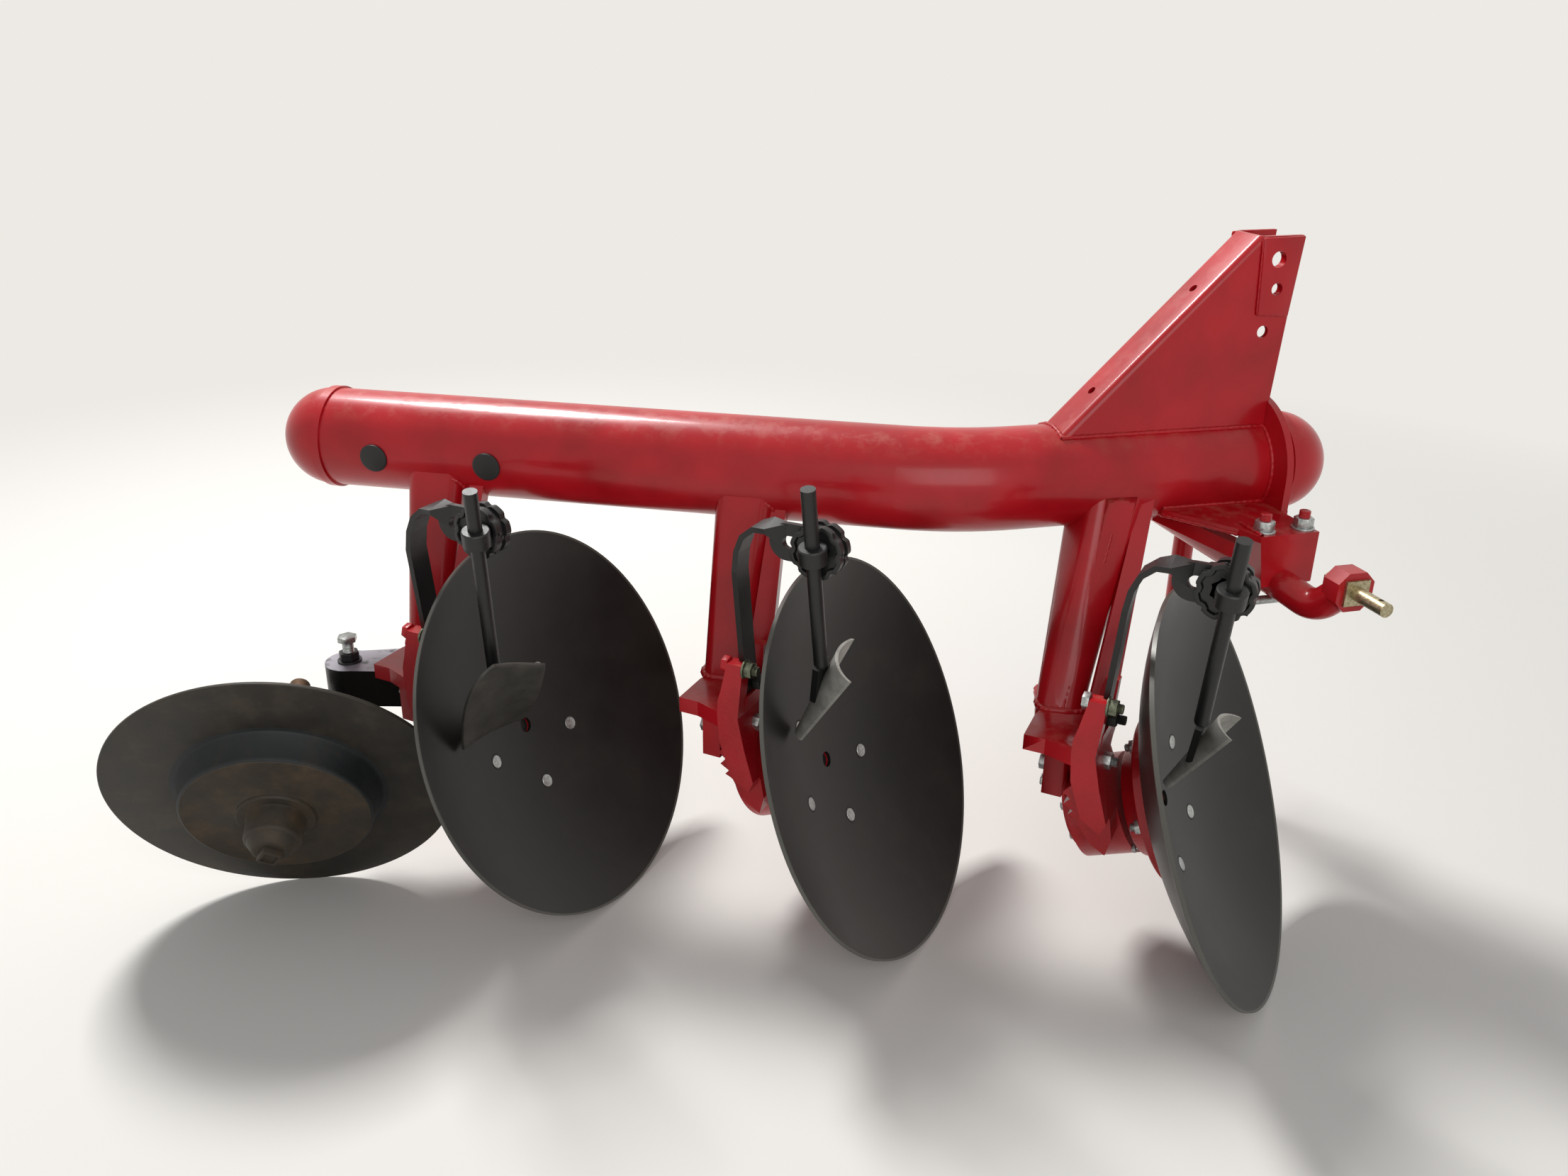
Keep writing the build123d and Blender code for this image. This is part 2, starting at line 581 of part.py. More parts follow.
# Furrow wheel, a pressed plate with a stepped hub
axis = Vector(*wheel_axis).normalized()
wheel_height = wheel_radius * sqrt(1 - axis.Z**2) + wheel_plate / 2 * abs(axis.Z)
wheel_centre = Vector(wheel_x, wheel_y, wheel_height)
wheel_plane = Plane(origin=wheel_centre, z_dir=axis)
half_plate = wheel_plate / 2
level_one = wheel_dish
level_two = wheel_dish + wheel_step
profile = closed(
    (0, level_two - half_plate),
    (wheel_step_radius - wheel_step, level_two - half_plate),
    (wheel_step_radius, level_one - half_plate),
    (wheel_radius, -half_plate),
    (wheel_radius, half_plate),
    (wheel_step_radius, level_one + half_plate),
    (wheel_step_radius - wheel_step, level_two + half_plate),
    (0, level_two + half_plate),
)
wheel = revolve(Plane.XZ * profile, Axis.Z)
hub_level = level_two
for radius, length in wheel_hub:
    wheel = wheel + Pos(0, 0, hub_level) * Cylinder(radius, length, align=lowest)
    hub_level = hub_level + length
wheel = wheel + Pos(0, 0, hub_level) * Box(wheel_nut, wheel_nut, wheel_nut_length, align=lowest)
barrel = Pos(0, 0, level_two) * Cylinder(
    wheel_bearing / 2, level_two + wheel_bearing_length, align=highest
)
axle_room = Pos(0, 0, -2 * axle_end) * Cylinder(
    axle_diameter / 2 + spindle_fit, 2 * axle_end + hub_level - wheel_plate, align=lowest
)
shapes["furrow_wheel"] = wheel_plane * (wheel + barrel - axle_room)
axle_length = axle_end + hub_level - 2 * wheel_plate
shapes["wheel_axle"] = wheel_plane * Pos(0, 0, -axle_end) * Cylinder(axle_diameter / 2, axle_length, align=lowest)

# Cast arm from the rear standard, its upright pivot bolt and the knuckle that holds the axle
pivot_x, pivot_y = pivot_place
pivot_top = foot_top - foot_thickness
root_x, root_near, root_far = pivot_root
arm_plan = closed(
    (pivot_x, pivot_y - pivot_diameter / 2),
    (root_x, root_near),
    (root_x, root_far),
    (pivot_x, pivot_y + pivot_diameter / 2),
)
wheel_arm = extrude(Pos(0, 0, pivot_top - pivot_thickness) * arm_plan, pivot_thickness)
pivot_end = Pos(pivot_x, pivot_y, pivot_top) * Cylinder(pivot_diameter / 2, pivot_thickness, align=highest)
bolt_room = Pos(pivot_x, pivot_y, 0) * Cylinder(pivot_bolt / 2 + spindle_fit, 1000, align=lowest)
wheel_arm = wheel_arm + pivot_end - bolt_room
shapes["wheel_arm"] = wheel_arm - shapes["standard_rear"] - shapes["housing_rear"]
knuckle_top = pivot_top - pivot_thickness
sleeve_back = wheel_plane * Pos(0, 0, -sleeve_start) * Cylinder(
    sleeve_diameter / 2, sleeve_length_back, align=highest
)
sleeve_middle = wheel_centre - axis * (sleeve_start + sleeve_length_back / 2)
wheel_knuckle = Pos(pivot_x, pivot_y, knuckle_low) * Cylinder(
    knuckle_diameter / 2, knuckle_top - knuckle_low, align=lowest
)
bar_start = Vector(pivot_x, pivot_y, (knuckle_low + knuckle_top) / 2)
wheel_knuckle = wheel_knuckle + rod(bar_start, sleeve_middle, knuckle_bar) + sleeve_back
wheel_knuckle = wheel_knuckle - bolt_room - shapes["wheel_axle"] - shapes["wheel_arm"]
shapes["wheel_knuckle"] = wheel_knuckle
pivot = Pos(pivot_x, pivot_y, knuckle_low) * Cylinder(pivot_bolt / 2, pivot_bolt_top - knuckle_low, align=lowest)
pivot = pivot + Pos(pivot_x, pivot_y, pivot_bolt_top - pivot_head_thickness) * extrude(
    RegularPolygon(pivot_bolt_head / 2, 6), pivot_head_thickness
)
pivot = pivot + Pos(pivot_x, pivot_y, pivot_top) * Cylinder(spring_diameter / 2, spring_height, align=lowest)
shapes["wheel_pivot"] = pivot

boxes = {name: shape.bounding_box() for name, shape in shapes.items()}
low_x = min(box.min.X for box in boxes.values())
high_x = max(box.max.X for box in boxes.values())
low_y = min(box.min.Y for box in boxes.values())
high_y = max(box.max.Y for box in boxes.values())
shift = Pos(-(low_x + high_x) / 2, -(low_y + high_y) / 2, 0)
os.makedirs("parts", exist_ok=True)
for name, shape in shapes.items():
    export_step(shift * shape, "parts/" + name + ".step")
    box = boxes[name]
    print(name, len(shape.solids()), [round(value, 1) for value in (*box.min, *box.max)])
print("origin", -(low_x + high_x) / 2, -(low_y + high_y) / 2)
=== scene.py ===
import json
import math
import bpy
import bmesh
from mathutils import Matrix, Quaternion, Vector


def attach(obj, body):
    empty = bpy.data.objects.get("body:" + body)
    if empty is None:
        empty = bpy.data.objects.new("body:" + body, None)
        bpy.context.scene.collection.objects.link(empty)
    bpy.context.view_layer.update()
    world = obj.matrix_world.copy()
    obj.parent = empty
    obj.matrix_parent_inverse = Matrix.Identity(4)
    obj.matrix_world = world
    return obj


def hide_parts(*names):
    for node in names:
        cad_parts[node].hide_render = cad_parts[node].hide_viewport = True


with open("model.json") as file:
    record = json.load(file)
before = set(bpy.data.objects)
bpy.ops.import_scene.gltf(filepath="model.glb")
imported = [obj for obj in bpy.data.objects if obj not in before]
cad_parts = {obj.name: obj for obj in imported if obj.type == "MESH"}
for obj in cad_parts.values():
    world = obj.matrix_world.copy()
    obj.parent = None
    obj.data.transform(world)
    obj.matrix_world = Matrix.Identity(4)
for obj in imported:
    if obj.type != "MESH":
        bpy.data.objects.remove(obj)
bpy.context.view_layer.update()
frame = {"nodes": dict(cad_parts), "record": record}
joints = {joint["name"]: joint for joint in frame["record"]["behaviour"]["joints"]}

# Camera where the photographer stood, a phone held a little above the beam
# and pointed down at the discs from the furrow side
camera = bpy.data.objects.new("camera", bpy.data.cameras.new("camera"))
bpy.context.collection.objects.link(camera)
camera.data.sensor_width = 36.0
camera.data.lens = 29.29
camera.data.clip_end = 100.0
heading = Matrix.Rotation(math.radians(10.983), 4, "Z")
lowering = Matrix.Rotation(math.radians(90.0 - 22.697), 4, "X")
leaning = Matrix.Rotation(math.radians(0.923), 4, "Z")
camera.matrix_world = Matrix.Translation((0.427871, -2.017078, 1.367)) @ heading @ lowering @ leaning
bpy.context.scene.camera = camera

# Plain pale floor under the plough and soft studio light around it
# The key stands where the sun stood, behind and to the rear of the plough
bpy.ops.object.select_all(action="DESELECT")
bpy.ops.mesh.primitive_plane_add(size=60.0, location=(0.0, 0.0, 0.0))
floor = bpy.context.object
floor.name = "floor"


def linear(hex_colour):
    shades = [int(hex_colour[i:i + 2], 16) / 255.0 for i in (0, 2, 4)]
    return [s / 12.92 if s <= 0.04045 else ((s + 0.055) / 1.055) ** 2.4 for s in shades] + [1.0]


def put(tree, kind, inputs=None, stops=None, **settings):
    made = tree.nodes.new(kind)
    for name, value in settings.items():
        setattr(made, name, value)
    if stops:
        ramp = made.color_ramp
        while len(ramp.elements) < len(stops):
            ramp.elements.new(1.0)
        for element, (place, colour) in zip(ramp.elements, stops):
            element.position = place
            element.color = linear(colour) if isinstance(colour, str) else (colour, colour, colour, 1.0)
    for name, value in (inputs or {}).items():
        if isinstance(value, bpy.types.NodeSocket):
            tree.links.new(value, made.inputs[name])
        else:
            made.inputs[name].default_value = value
    return made


def new_material(name):
    material = bpy.data.materials.new(name)
    material.use_nodes = True
    tree = material.node_tree
    tree.nodes.clear()
    return material, tree


backdrop_white = linear("EDEAE5")
concrete, tree = new_material("pale_screed_floor")
place = put(tree, "ShaderNodeTexCoord")
reach = put(tree, "ShaderNodeVectorMath", {0: place.outputs["Object"]}, operation="LENGTH")
away = put(tree, "ShaderNodeMapRange", {"Value": reach.outputs["Value"], "From Min": 1.6, "From Max": 4.2})
diffuse = put(tree, "ShaderNodeBsdfDiffuse", {"Color": linear("EBE8E2")})
backdrop = put(tree, "ShaderNodeEmission", {"Color": backdrop_white, "Strength": 1.0})
path = put(tree, "ShaderNodeLightPath")
seen = put(tree, "ShaderNodeMath", {
    0: path.outputs["Is Camera Ray"], 1: path.outputs["Is Glossy Ray"],
}, operation="MAXIMUM")
fade = put(tree, "ShaderNodeMath", {0: away.outputs[0], 1: seen.outputs[0]}, operation="MULTIPLY")
both = put(tree, "ShaderNodeMixShader", {0: fade.outputs[0], 1: diffuse.outputs[0], 2: backdrop.outputs[0]})
put(tree, "ShaderNodeOutputMaterial", {"Surface": both.outputs[0]})
floor.data.materials.append(concrete)

world = bpy.data.worlds.new("studio")
bpy.context.scene.world = world
world.use_nodes = True
tree = world.node_tree
tree.nodes.clear()
path = put(tree, "ShaderNodeLightPath")
seen = put(tree, "ShaderNodeMath", {
    0: path.outputs["Is Camera Ray"], 1: path.outputs["Is Glossy Ray"],
}, operation="MAXIMUM")
seen = put(tree, "ShaderNodeMath", {
    0: seen.outputs[0], 1: path.outputs["Is Transmission Ray"],
}, operation="MAXIMUM")
room = put(tree, "ShaderNodeBackground", {"Color": linear("F2F4F8"), "Strength": 0.36})
white = put(tree, "ShaderNodeBackground", {"Color": backdrop_white, "Strength": 1.0})
both = put(tree, "ShaderNodeMixShader", {0: seen.outputs[0], 1: room.outputs[0], 2: white.outputs[0]})
put(tree, "ShaderNodeOutputWorld", {"Surface": both.outputs[0]})


def soft_lamp(name, place, aim, size, power):
    lamp = bpy.data.objects.new(name, bpy.data.lights.new(name, "AREA"))
    bpy.context.collection.objects.link(lamp)
    lamp.data.size = size
    lamp.data.energy = power
    lamp.location = place
    lamp.rotation_mode = "QUATERNION"
    lamp.rotation_quaternion = (Vector(aim) - Vector(place)).to_track_quat("-Z", "Y")


soft_lamp("key_lamp", (-2.4, 2.2, 5.2), (0.0, 0.0, 0.4), 1.4, 330.0)
soft_lamp("fill_lamp", (1.6, -4.2, 2.6), (0.0, 0.0, 0.5), 3.0, 60.0)

# Beam, standards, castings, mast and hitch, welded steel under one glossy coat of
# red enamel, sprayed on thick, with an orange-peel skin and dust on what faces up


def red_enamel(name, peel_mm, roughness, cast_mm=0.0):
    material, tree = new_material(name)
    place = put(tree, "ShaderNodeTexCoord")
    at = place.outputs["Object"]
    clouds = put(tree, "ShaderNodeTexNoise", {"Vector": at, "Scale": 9.0, "Detail": 4.0})
    shade = put(tree, "ShaderNodeValToRGB", {
        "Fac": clouds.outputs["Fac"],
    }, stops=[(0.35, "A60D17"), (0.65, "BE1420")])
    skin = put(tree, "ShaderNodeTexNoise", {"Vector": at, "Scale": 1000.0 / peel_mm, "Detail": 2.0})
    bump = put(tree, "ShaderNodeBump", {"Height": skin.outputs["Fac"], "Strength": 0.05, "Distance": 0.0005})
    if cast_mm:
        sand = put(tree, "ShaderNodeTexNoise", {"Vector": at, "Scale": 1000.0 / cast_mm, "Detail": 5.0})
        bump = put(tree, "ShaderNodeBump", {
            "Height": sand.outputs["Fac"], "Strength": 0.45, "Distance": 0.0015, "Normal": bump.outputs[0],
        })
    shape = put(tree, "ShaderNodeNewGeometry")
    parts = put(tree, "ShaderNodeSeparateXYZ", {0: shape.outputs["Normal"]})
    upper = put(tree, "ShaderNodeMapRange", {"Value": parts.outputs["Z"], "From Min": 0.55, "From Max": 1.0})
    dust = put(tree, "ShaderNodeTexNoise", {"Vector": at, "Scale": 35.0, "Detail": 8.0, "Roughness": 0.7})
    dust = put(tree, "ShaderNodeMapRange", {
        "Value": dust.outputs["Fac"], "From Min": 0.48, "From Max": 0.75, "To Max": 0.35,
    })
    dusty = put(tree, "ShaderNodeMath", {0: dust.outputs[0], 1: upper.outputs[0]}, operation="MULTIPLY")
    colour = put(tree, "ShaderNodeMix", {
        0: dusty.outputs[0], 6: shade.outputs[0], 7: linear("B9876F"),
    }, data_type="RGBA")
    rough = put(tree, "ShaderNodeMapRange", {
        "Value": clouds.outputs["Fac"], "To Min": roughness, "To Max": roughness + 0.1,
    })
    rougher = put(tree, "ShaderNodeMath", {0: rough.outputs[0], 1: dusty.outputs[0]}, operation="ADD")
    shader = put(tree, "ShaderNodeBsdfPrincipled", {
        "Base Color": colour.outputs[2], "Roughness": rougher.outputs[0], "Normal": bump.outputs[0],
        "Specular IOR Level": 0.3, "Coat Weight": 0.25, "Coat Roughness": 0.12,
    })
    put(tree, "ShaderNodeOutputMaterial", {"Surface": shader.outputs[0]})
    return material


tube_enamel = red_enamel("red_alkyd_enamel_on_rolled_steel", 2.5, 0.26)
cast_enamel = red_enamel("red_alkyd_enamel_on_sand_cast_iron", 2.5, 0.34, 4.0)


def finish_node(name, material):
    mesh = frame["nodes"][name].data
    mesh.materials.clear()
    mesh.materials.append(material)


for name in frame["nodes"]:
    if name.startswith(("beam", "rear_cap", "front_", "mast", "hitch", "cross", "strut", "stand", "brace")):
        finish_node(name, tube_enamel)
    if name.startswith(("housing", "hub_")):
        finish_node(name, cast_enamel)

# Front standard, a welded box set a little further along the beam at its top, and the
# fillet welds of all three standards under the beam, laid by hand in short steps and
# painted over, so each shows as a rounded rippled roll


def pick(made):
    bpy.ops.object.select_all(action="DESELECT")
    made.select_set(True)
    bpy.context.view_layer.objects.active = made


def bead(name, points, radius, closed=True):
    curve = bpy.data.curves.new(name, "CURVE")
    curve.dimensions = "3D"
    curve.bevel_depth = radius
    curve.bevel_resolution = 2
    line = curve.splines.new("POLY")
    line.points.add(len(points) - 1)
    for index, (spot, point) in enumerate(zip(points, line.points)):
        point.co = (*spot, 1.0)
        point.radius = 1.0 + 0.16 * math.sin(index * 1.9) + 0.08 * math.sin(index * 0.73)
    line.use_cyclic_u = closed
    made = bpy.data.objects.new(name, curve)
    bpy.context.collection.objects.link(made)
    pick(made)
    bpy.ops.object.convert(target="MESH")
    bpy.ops.object.shade_smooth()
    made.data.materials.clear()
    made.data.materials.append(cast_enamel)
    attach(made, "frame")
    return made


ground_place = Vector((0.230871, -0.040078, 0.0))
beam_radius = 0.08415
beam_level = 0.7372
bend_corner = 0.095
beam_bend = Vector((bend_corner, 0.0, 0.0)) + ground_place
bend_angle = math.radians(26.2)
travel = Vector((math.cos(bend_angle), math.sin(bend_angle), 0.0))
aside_travel = Vector((-travel.y, travel.x, 0.0))


def hitch_spot(u, v, z):
    return beam_bend + travel * (u / 1000) + aside_travel * (v / 1000) + Vector((0.0, 0.0, z / 1000))


front_shift = 0.027
standard_foot = 0.402
weld_widest = 0.0832
standard = frame["nodes"]["standard_front"].copy()
standard.data = standard.data.copy()
standard.name = "standard_front_welded"
bpy.context.collection.objects.link(standard)
shape = bmesh.new()
shape.from_mesh(standard.data)
bmesh.ops.remove_doubles(shape, verts=shape.verts[:], dist=0.00002)
for corner in shape.verts:
    rise = max(corner.co.z - standard_foot, 0.0) / (beam_level - standard_foot)
    corner.co += travel * (front_shift * min(rise, 1.0))
shape.to_mesh(standard.data)
shape.free()
pick(standard)
bpy.ops.object.shade_smooth_by_angle(angle=math.radians(30.0))
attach(standard, "frame")
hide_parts("standard_front")

column_tops = {
    "rear": (-0.537, -0.238, -0.026, 0.0),
    "middle": (0.0, -0.238, -0.026, 0.0),
    "front": (0.552, -0.2154, 0.0899, bend_angle),
}


def rounded_square(count, sharpness, half):
    for index in range(count):
        turn = math.tau * index / count
        across = math.copysign(abs(math.cos(turn)) ** sharpness, math.cos(turn)) * half
        deep = math.copysign(abs(math.sin(turn)) ** sharpness, math.sin(turn)) * half
        yield across, deep


for name, (step, top_x, top_y, twist) in column_tops.items():
    points = []
    for across, deep in rounded_square(96, 0.4, 0.0505):
        x = step + top_x + across * math.cos(twist) - deep * math.sin(twist)
        y = top_y + across * math.sin(twist) + deep * math.cos(twist)
        side = (y - math.tan(bend_angle) * (x - bend_corner)) * math.cos(bend_angle) if name == "front" else y
        drop = math.sqrt(beam_radius ** 2 - min(abs(side), weld_widest) ** 2)
        points.append(ground_place + Vector((x, y, beam_level - drop)))
    bead("weld_standard_" + name, points, 0.0042)

# Welds of the mast, the collar and the brackets on the beam, and of each standard on
# its foot plate, laid in the same short steps with a rougher roll at the feet


def stepped(corners, step=0.0035):
    spots = []
    for start, end in zip(corners, corners[1:]):
        count = max(2, round((Vector(end) - Vector(start)).length / step))
        spots.extend(Vector(start).lerp(Vector(end), index / count) for index in range(count))
    return spots + [Vector(corners[-1])]


def tube_top(v):
    return beam_level * 1000 + math.sqrt((beam_radius * 1000) ** 2 - v ** 2)


mast_side = 41.0
for name, side in (("near", -1), ("far", 1)):
    foot = [hitch_spot(u, side * mast_side, tube_top(mast_side) + 1.0) for u in (154.0, 519.0)]
    bead("weld_mast_" + name, stepped(foot), 0.0034, False)
    corners = ((465.5, 1113.0), (473.7, 996.5), (527.0, 993.0))
    ear = [hitch_spot(u, side * (mast_side + 1.0), z) for u, z in corners]
    bead("weld_mast_ear_" + name, stepped(ear), 0.0020, False)
    root = [hitch_spot(u, side * 69.7, 691.0) for u in (334.0, 519.0)]
    bead("weld_bracket_" + name, stepped(root), 0.0040, False)
    rim = ((402.0, 183.0), (332.0, 75.0), (332.0, 66.0))
    rim = [hitch_spot(u, side * v, 681.0) for u, v in rim]
    bead("weld_bracket_rear_" + name, stepped(rim), 0.0030, False)
    lip = ((418.0, 222.0), (419.0, 161.0))
    lip = [hitch_spot(u, side * v, 691.0) for u, v in lip]
    bead("weld_bracket_box_" + name, stepped(lip), 0.0032, False)
across_mast = [hitch_spot(156.0, v, tube_top(v)) for v in range(-41, 42, 3)]
bead("weld_mast_rear", across_mast, 0.0036, False)
for name, u in (("rear", 519.0), ("front", 533.0)):
    ring = []
    for index in range(150):
        turn = math.tau * index / 150
        out = beam_radius * 1000 + 1.0
        ring.append(hitch_spot(u, out * math.sin(turn), beam_level * 1000 + out * math.cos(turn)))
    bead("weld_collar_" + name, ring, 0.0034)

foot_middle = Vector((-0.265, -0.083, 0.376))
foot_half = (0.037, 0.042)
top_half = 0.050


def on_column(name, rise, across, deep):
    step, top_x, top_y, twist = column_tops[name]
    low = foot_middle + Vector((across * foot_half[0], deep * foot_half[1], 0.0))
    turned_x = across * math.cos(twist) - deep * math.sin(twist)
    turned_y = across * math.sin(twist) + deep * math.cos(twist)
    high = Vector((top_x + turned_x * top_half, top_y + turned_y * top_half, beam_level))
    return ground_place + Vector((step, 0.0, 0.0)) + low.lerp(high, rise)


for name in column_tops:
    roll = [on_column(name, 0.076, across, deep) for across, deep in rounded_square(84, 0.45, 1.03)]
    bead("weld_foot_" + name, roll, 0.0058)
seam = [on_column("front", rise, 0.0, -1.0) for rise in (0.08, 0.80)]
bead("weld_seam_front", stepped(seam), 0.0030, False)

# Mast, one channel folded from 8 mm plate, its two sloping edges bent round, with a
# doubling ear welded outside each side where the top link pulls, under the same coat


def shaped(made, name, material, body):
    made.name = name
    pick(made)
    bpy.ops.object.transform_apply(location=True, rotation=True, scale=True)
    bpy.ops.object.shade_smooth_by_angle(angle=math.radians(35.0))
    made.data.materials.clear()
    made.data.materials.append(material)
    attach(made, body)
    return made


def facing(axis):
    return Vector(axis).to_track_quat("Z", "Y").to_euler()


def bevelled(made, width, angle, segments=2):
    pick(made)
    edge = made.modifiers.new("rim", "BEVEL")
    edge.width = width
    edge.segments = segments
    edge.limit_method = "ANGLE"
    edge.angle_limit = math.radians(angle)
    bpy.ops.object.modifier_apply(modifier="rim")


def round_stock(spot, axis, radius, length, vertices=32, rim=0.0):
    bpy.ops.object.select_all(action="DESELECT")
    bpy.ops.mesh.primitive_cylinder_add(
        vertices=vertices, radius=radius, depth=length, rotation=facing(axis),
        location=Vector(spot) + Vector(axis).normalized() * length / 2,
    )
    made = bpy.context.object
    if rim:
        bevelled(made, rim, 50.0)
    return made


def joined(*made):
    bpy.ops.object.select_all(action="DESELECT")
    for piece in made:
        piece.select_set(True)
    bpy.context.view_layer.objects.active = made[0]
    bpy.ops.object.join()
    return made[0]


def linked(name, shape):
    mesh = bpy.data.meshes.new(name)
    shape.to_mesh(mesh)
    shape.free()
    made = bpy.data.objects.new(name, mesh)
    bpy.context.collection.objects.link(made)
    return made


def plate(outline, depth, rim=0.0):
    shape = bmesh.new()
    face = shape.faces.new([shape.verts.new(spot) for spot in outline])
    risen = bmesh.ops.extrude_face_region(shape, geom=[face])
    moved = [item for item in risen["geom"] if isinstance(item, bmesh.types.BMVert)]
    bmesh.ops.translate(shape, verts=moved, vec=depth)
    bmesh.ops.recalc_face_normals(shape, faces=shape.faces[:])
    made = linked("plate", shape)
    if rim:
        bevelled(made, rim, 40.0)
    return made


def round_edges(made, chosen, radius):
    shape = bmesh.new()
    shape.from_mesh(made.data)
    edges = [edge for edge in shape.edges if chosen((edge.verts[0].co, edge.verts[1].co))]
    bmesh.ops.bevel(shape, geom=edges, offset=radius, segments=6, profile=0.5, affect="EDGES")
    shape.to_mesh(made.data)
    shape.free()


def carve(made, *tools):
    for tool in tools:
        pick(made)
        cut = made.modifiers.new("cut", "BOOLEAN")
        cut.operation = "DIFFERENCE"
        cut.solver = "EXACT"
        cut.object = tool
        bpy.ops.object.modifier_apply(modifier="cut")
        bpy.data.objects.remove(tool, do_unlink=True)


mast_half = 40.0
mast_wall = 8.0
slope_low = (158.6, 814.5)
slope_high = (464.0, 1117.0)
mast_slope = (Vector(slope_high) - Vector(slope_low)).normalized()
mast_outline = ((158.6, 770.0), slope_low, slope_high, (539.0, 1118.0), (524.0, 853.0), (519.3, 770.0))
link_holes = [(496.2, 1082.3, 0.0127), (500.6, 1036.1, 0.00975), (490.6, 968.0, 0.00975)]
spine_holes = ((375.0, 1038.4), (212.6, 884.1))


def on_slope(pair):
    return all(abs((spot - mast_corner).dot(mast_normal)) < 0.0005 for spot in pair) and (
        (pair[1] - pair[0]).normalized().cross(mast_run).length < 0.01
    )


mast_corner = hitch_spot(slope_low[0], 0.0, slope_low[1])
mast_run = (hitch_spot(slope_high[0], 0.0, slope_high[1]) - mast_corner).normalized()
mast_normal = aside_travel.cross(mast_run).normalized()
mast = plate([hitch_spot(u, -mast_half, z) for u, z in mast_outline], aside_travel * (2 * mast_half / 1000))
round_edges(mast, on_slope, 0.013)
inward = Vector((mast_slope.y, -mast_slope.x)) * mast_wall
inner_top = slope_high[0] + inward.x
inner_foot = slope_low[0] + mast_wall
room_outline = (
    (inner_foot, 765.0), (inner_foot, slope_low[1] + inward.y + mast_wall - inward.x),
    (inner_top, slope_high[1] + inward.y), (inner_top, 1140.0), (560.0, 1140.0), (560.0, 765.0),
)
room = [hitch_spot(u, -mast_half + mast_wall, z) for u, z in room_outline]
carve(mast, plate(room, aside_travel * (2 * (mast_half - mast_wall) / 1000)))
for u, z, radius in link_holes:
    carve(mast, round_stock(hitch_spot(u, -60.0, z), aside_travel, radius, 0.120, 40))
for u, z in spine_holes:
    carve(mast, round_stock(hitch_spot(u, 0.0, z) - mast_normal * 0.02, mast_normal, 0.007, 0.04, 28))
ears = []
for side in (-1, 1):
    outline = ((465.5, 1115.0), (473.7, 996.5), (528.7, 993.0), (538.4, 1117.4))
    outline = [hitch_spot(u, side * mast_half, z) for u, z in outline]
    ear = plate(outline, aside_travel * (side * 0.006), 0.0015)
    for u, z, radius in link_holes[:2]:
        carve(ear, round_stock(hitch_spot(u, -60.0, z), aside_travel, radius, 0.120, 40))
    ears.append(ear)
mast = shaped(joined(mast, *ears), "mast_folded", tube_enamel, "frame")
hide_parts("mast_plate_near", "mast_plate_far", "mast_spine")

# Disc bolts, five countersunk heads in each disc, shallow crowned buttons of zinc-plated
# steel with a black ring of painted shade where the head meets its countersink


def bright_zinc(name, colour, roughness):
    material, tree = new_material(name)
    place = put(tree, "ShaderNodeTexCoord")
    at = place.outputs["Object"]
    spangle = put(tree, "ShaderNodeTexNoise", {"Vector": at, "Scale": 240.0, "Detail": 4.0})
    tone = put(tree, "ShaderNodeValToRGB", {
        "Fac": spangle.outputs["Fac"],
    }, stops=[(0.3, colour[0]), (0.7, colour[1])])
    rough = put(tree, "ShaderNodeMapRange", {
        "Value": spangle.outputs["Fac"], "To Min": roughness, "To Max": roughness + 0.18,
    })
    bump = put(tree, "ShaderNodeBump", {
        "Height": spangle.outputs["Fac"], "Strength": 0.15, "Distance": 0.0003,
    })
    shader = put(tree, "ShaderNodeBsdfPrincipled", {
        "Base Color": tone.outputs[0], "Roughness": rough.outputs[0],
        "Normal": bump.outputs[0], "Metallic": 0.9,
    })
    put(tree, "ShaderNodeOutputMaterial", {"Surface": shader.outputs[0]})
    return material


zinc = bright_zinc("blue_white_zinc_plate", ("8F9392", "C4C7C6"), 0.30)
olive_zinc = bright_zinc("olive_chromate_zinc_plate", ("5C6054", "858872"), 0.36)
yellow_zinc = bright_zinc("yellow_chromate_zinc_plate", ("8F8468", "C6BC9C"), 0.30)
upward = Vector((0.0, 0.0, 1.0))
level = Vector((0.966376, -0.257133, 0.0))
aside = Vector((0.257133, 0.966376, 0.0))
sphere_radius = 0.620658
disc_depth = 0.095
bolt_reach = 0.1055
bolt_step = 72.0
bolt_first = {"rear": 119.8, "middle": 125.3, "front": 103.1}


def turned(centre, axis, outline, steps=64):
    axis = Vector(axis).normalized()
    side = axis.orthogonal().normalized()
    shape = bmesh.new()
    spots = [shape.verts.new(Vector(centre) + axis * along + side * radius) for along, radius in outline]
    edges = [shape.edges.new(pair) for pair in zip(spots, spots[1:])]
    bmesh.ops.spin(shape, geom=spots + edges, cent=centre, axis=axis, angle=math.tau, steps=steps)
    bmesh.ops.remove_doubles(shape, verts=shape.verts[:], dist=0.00001)
    bmesh.ops.recalc_face_normals(shape, faces=shape.faces[:])
    return linked("turned", shape)
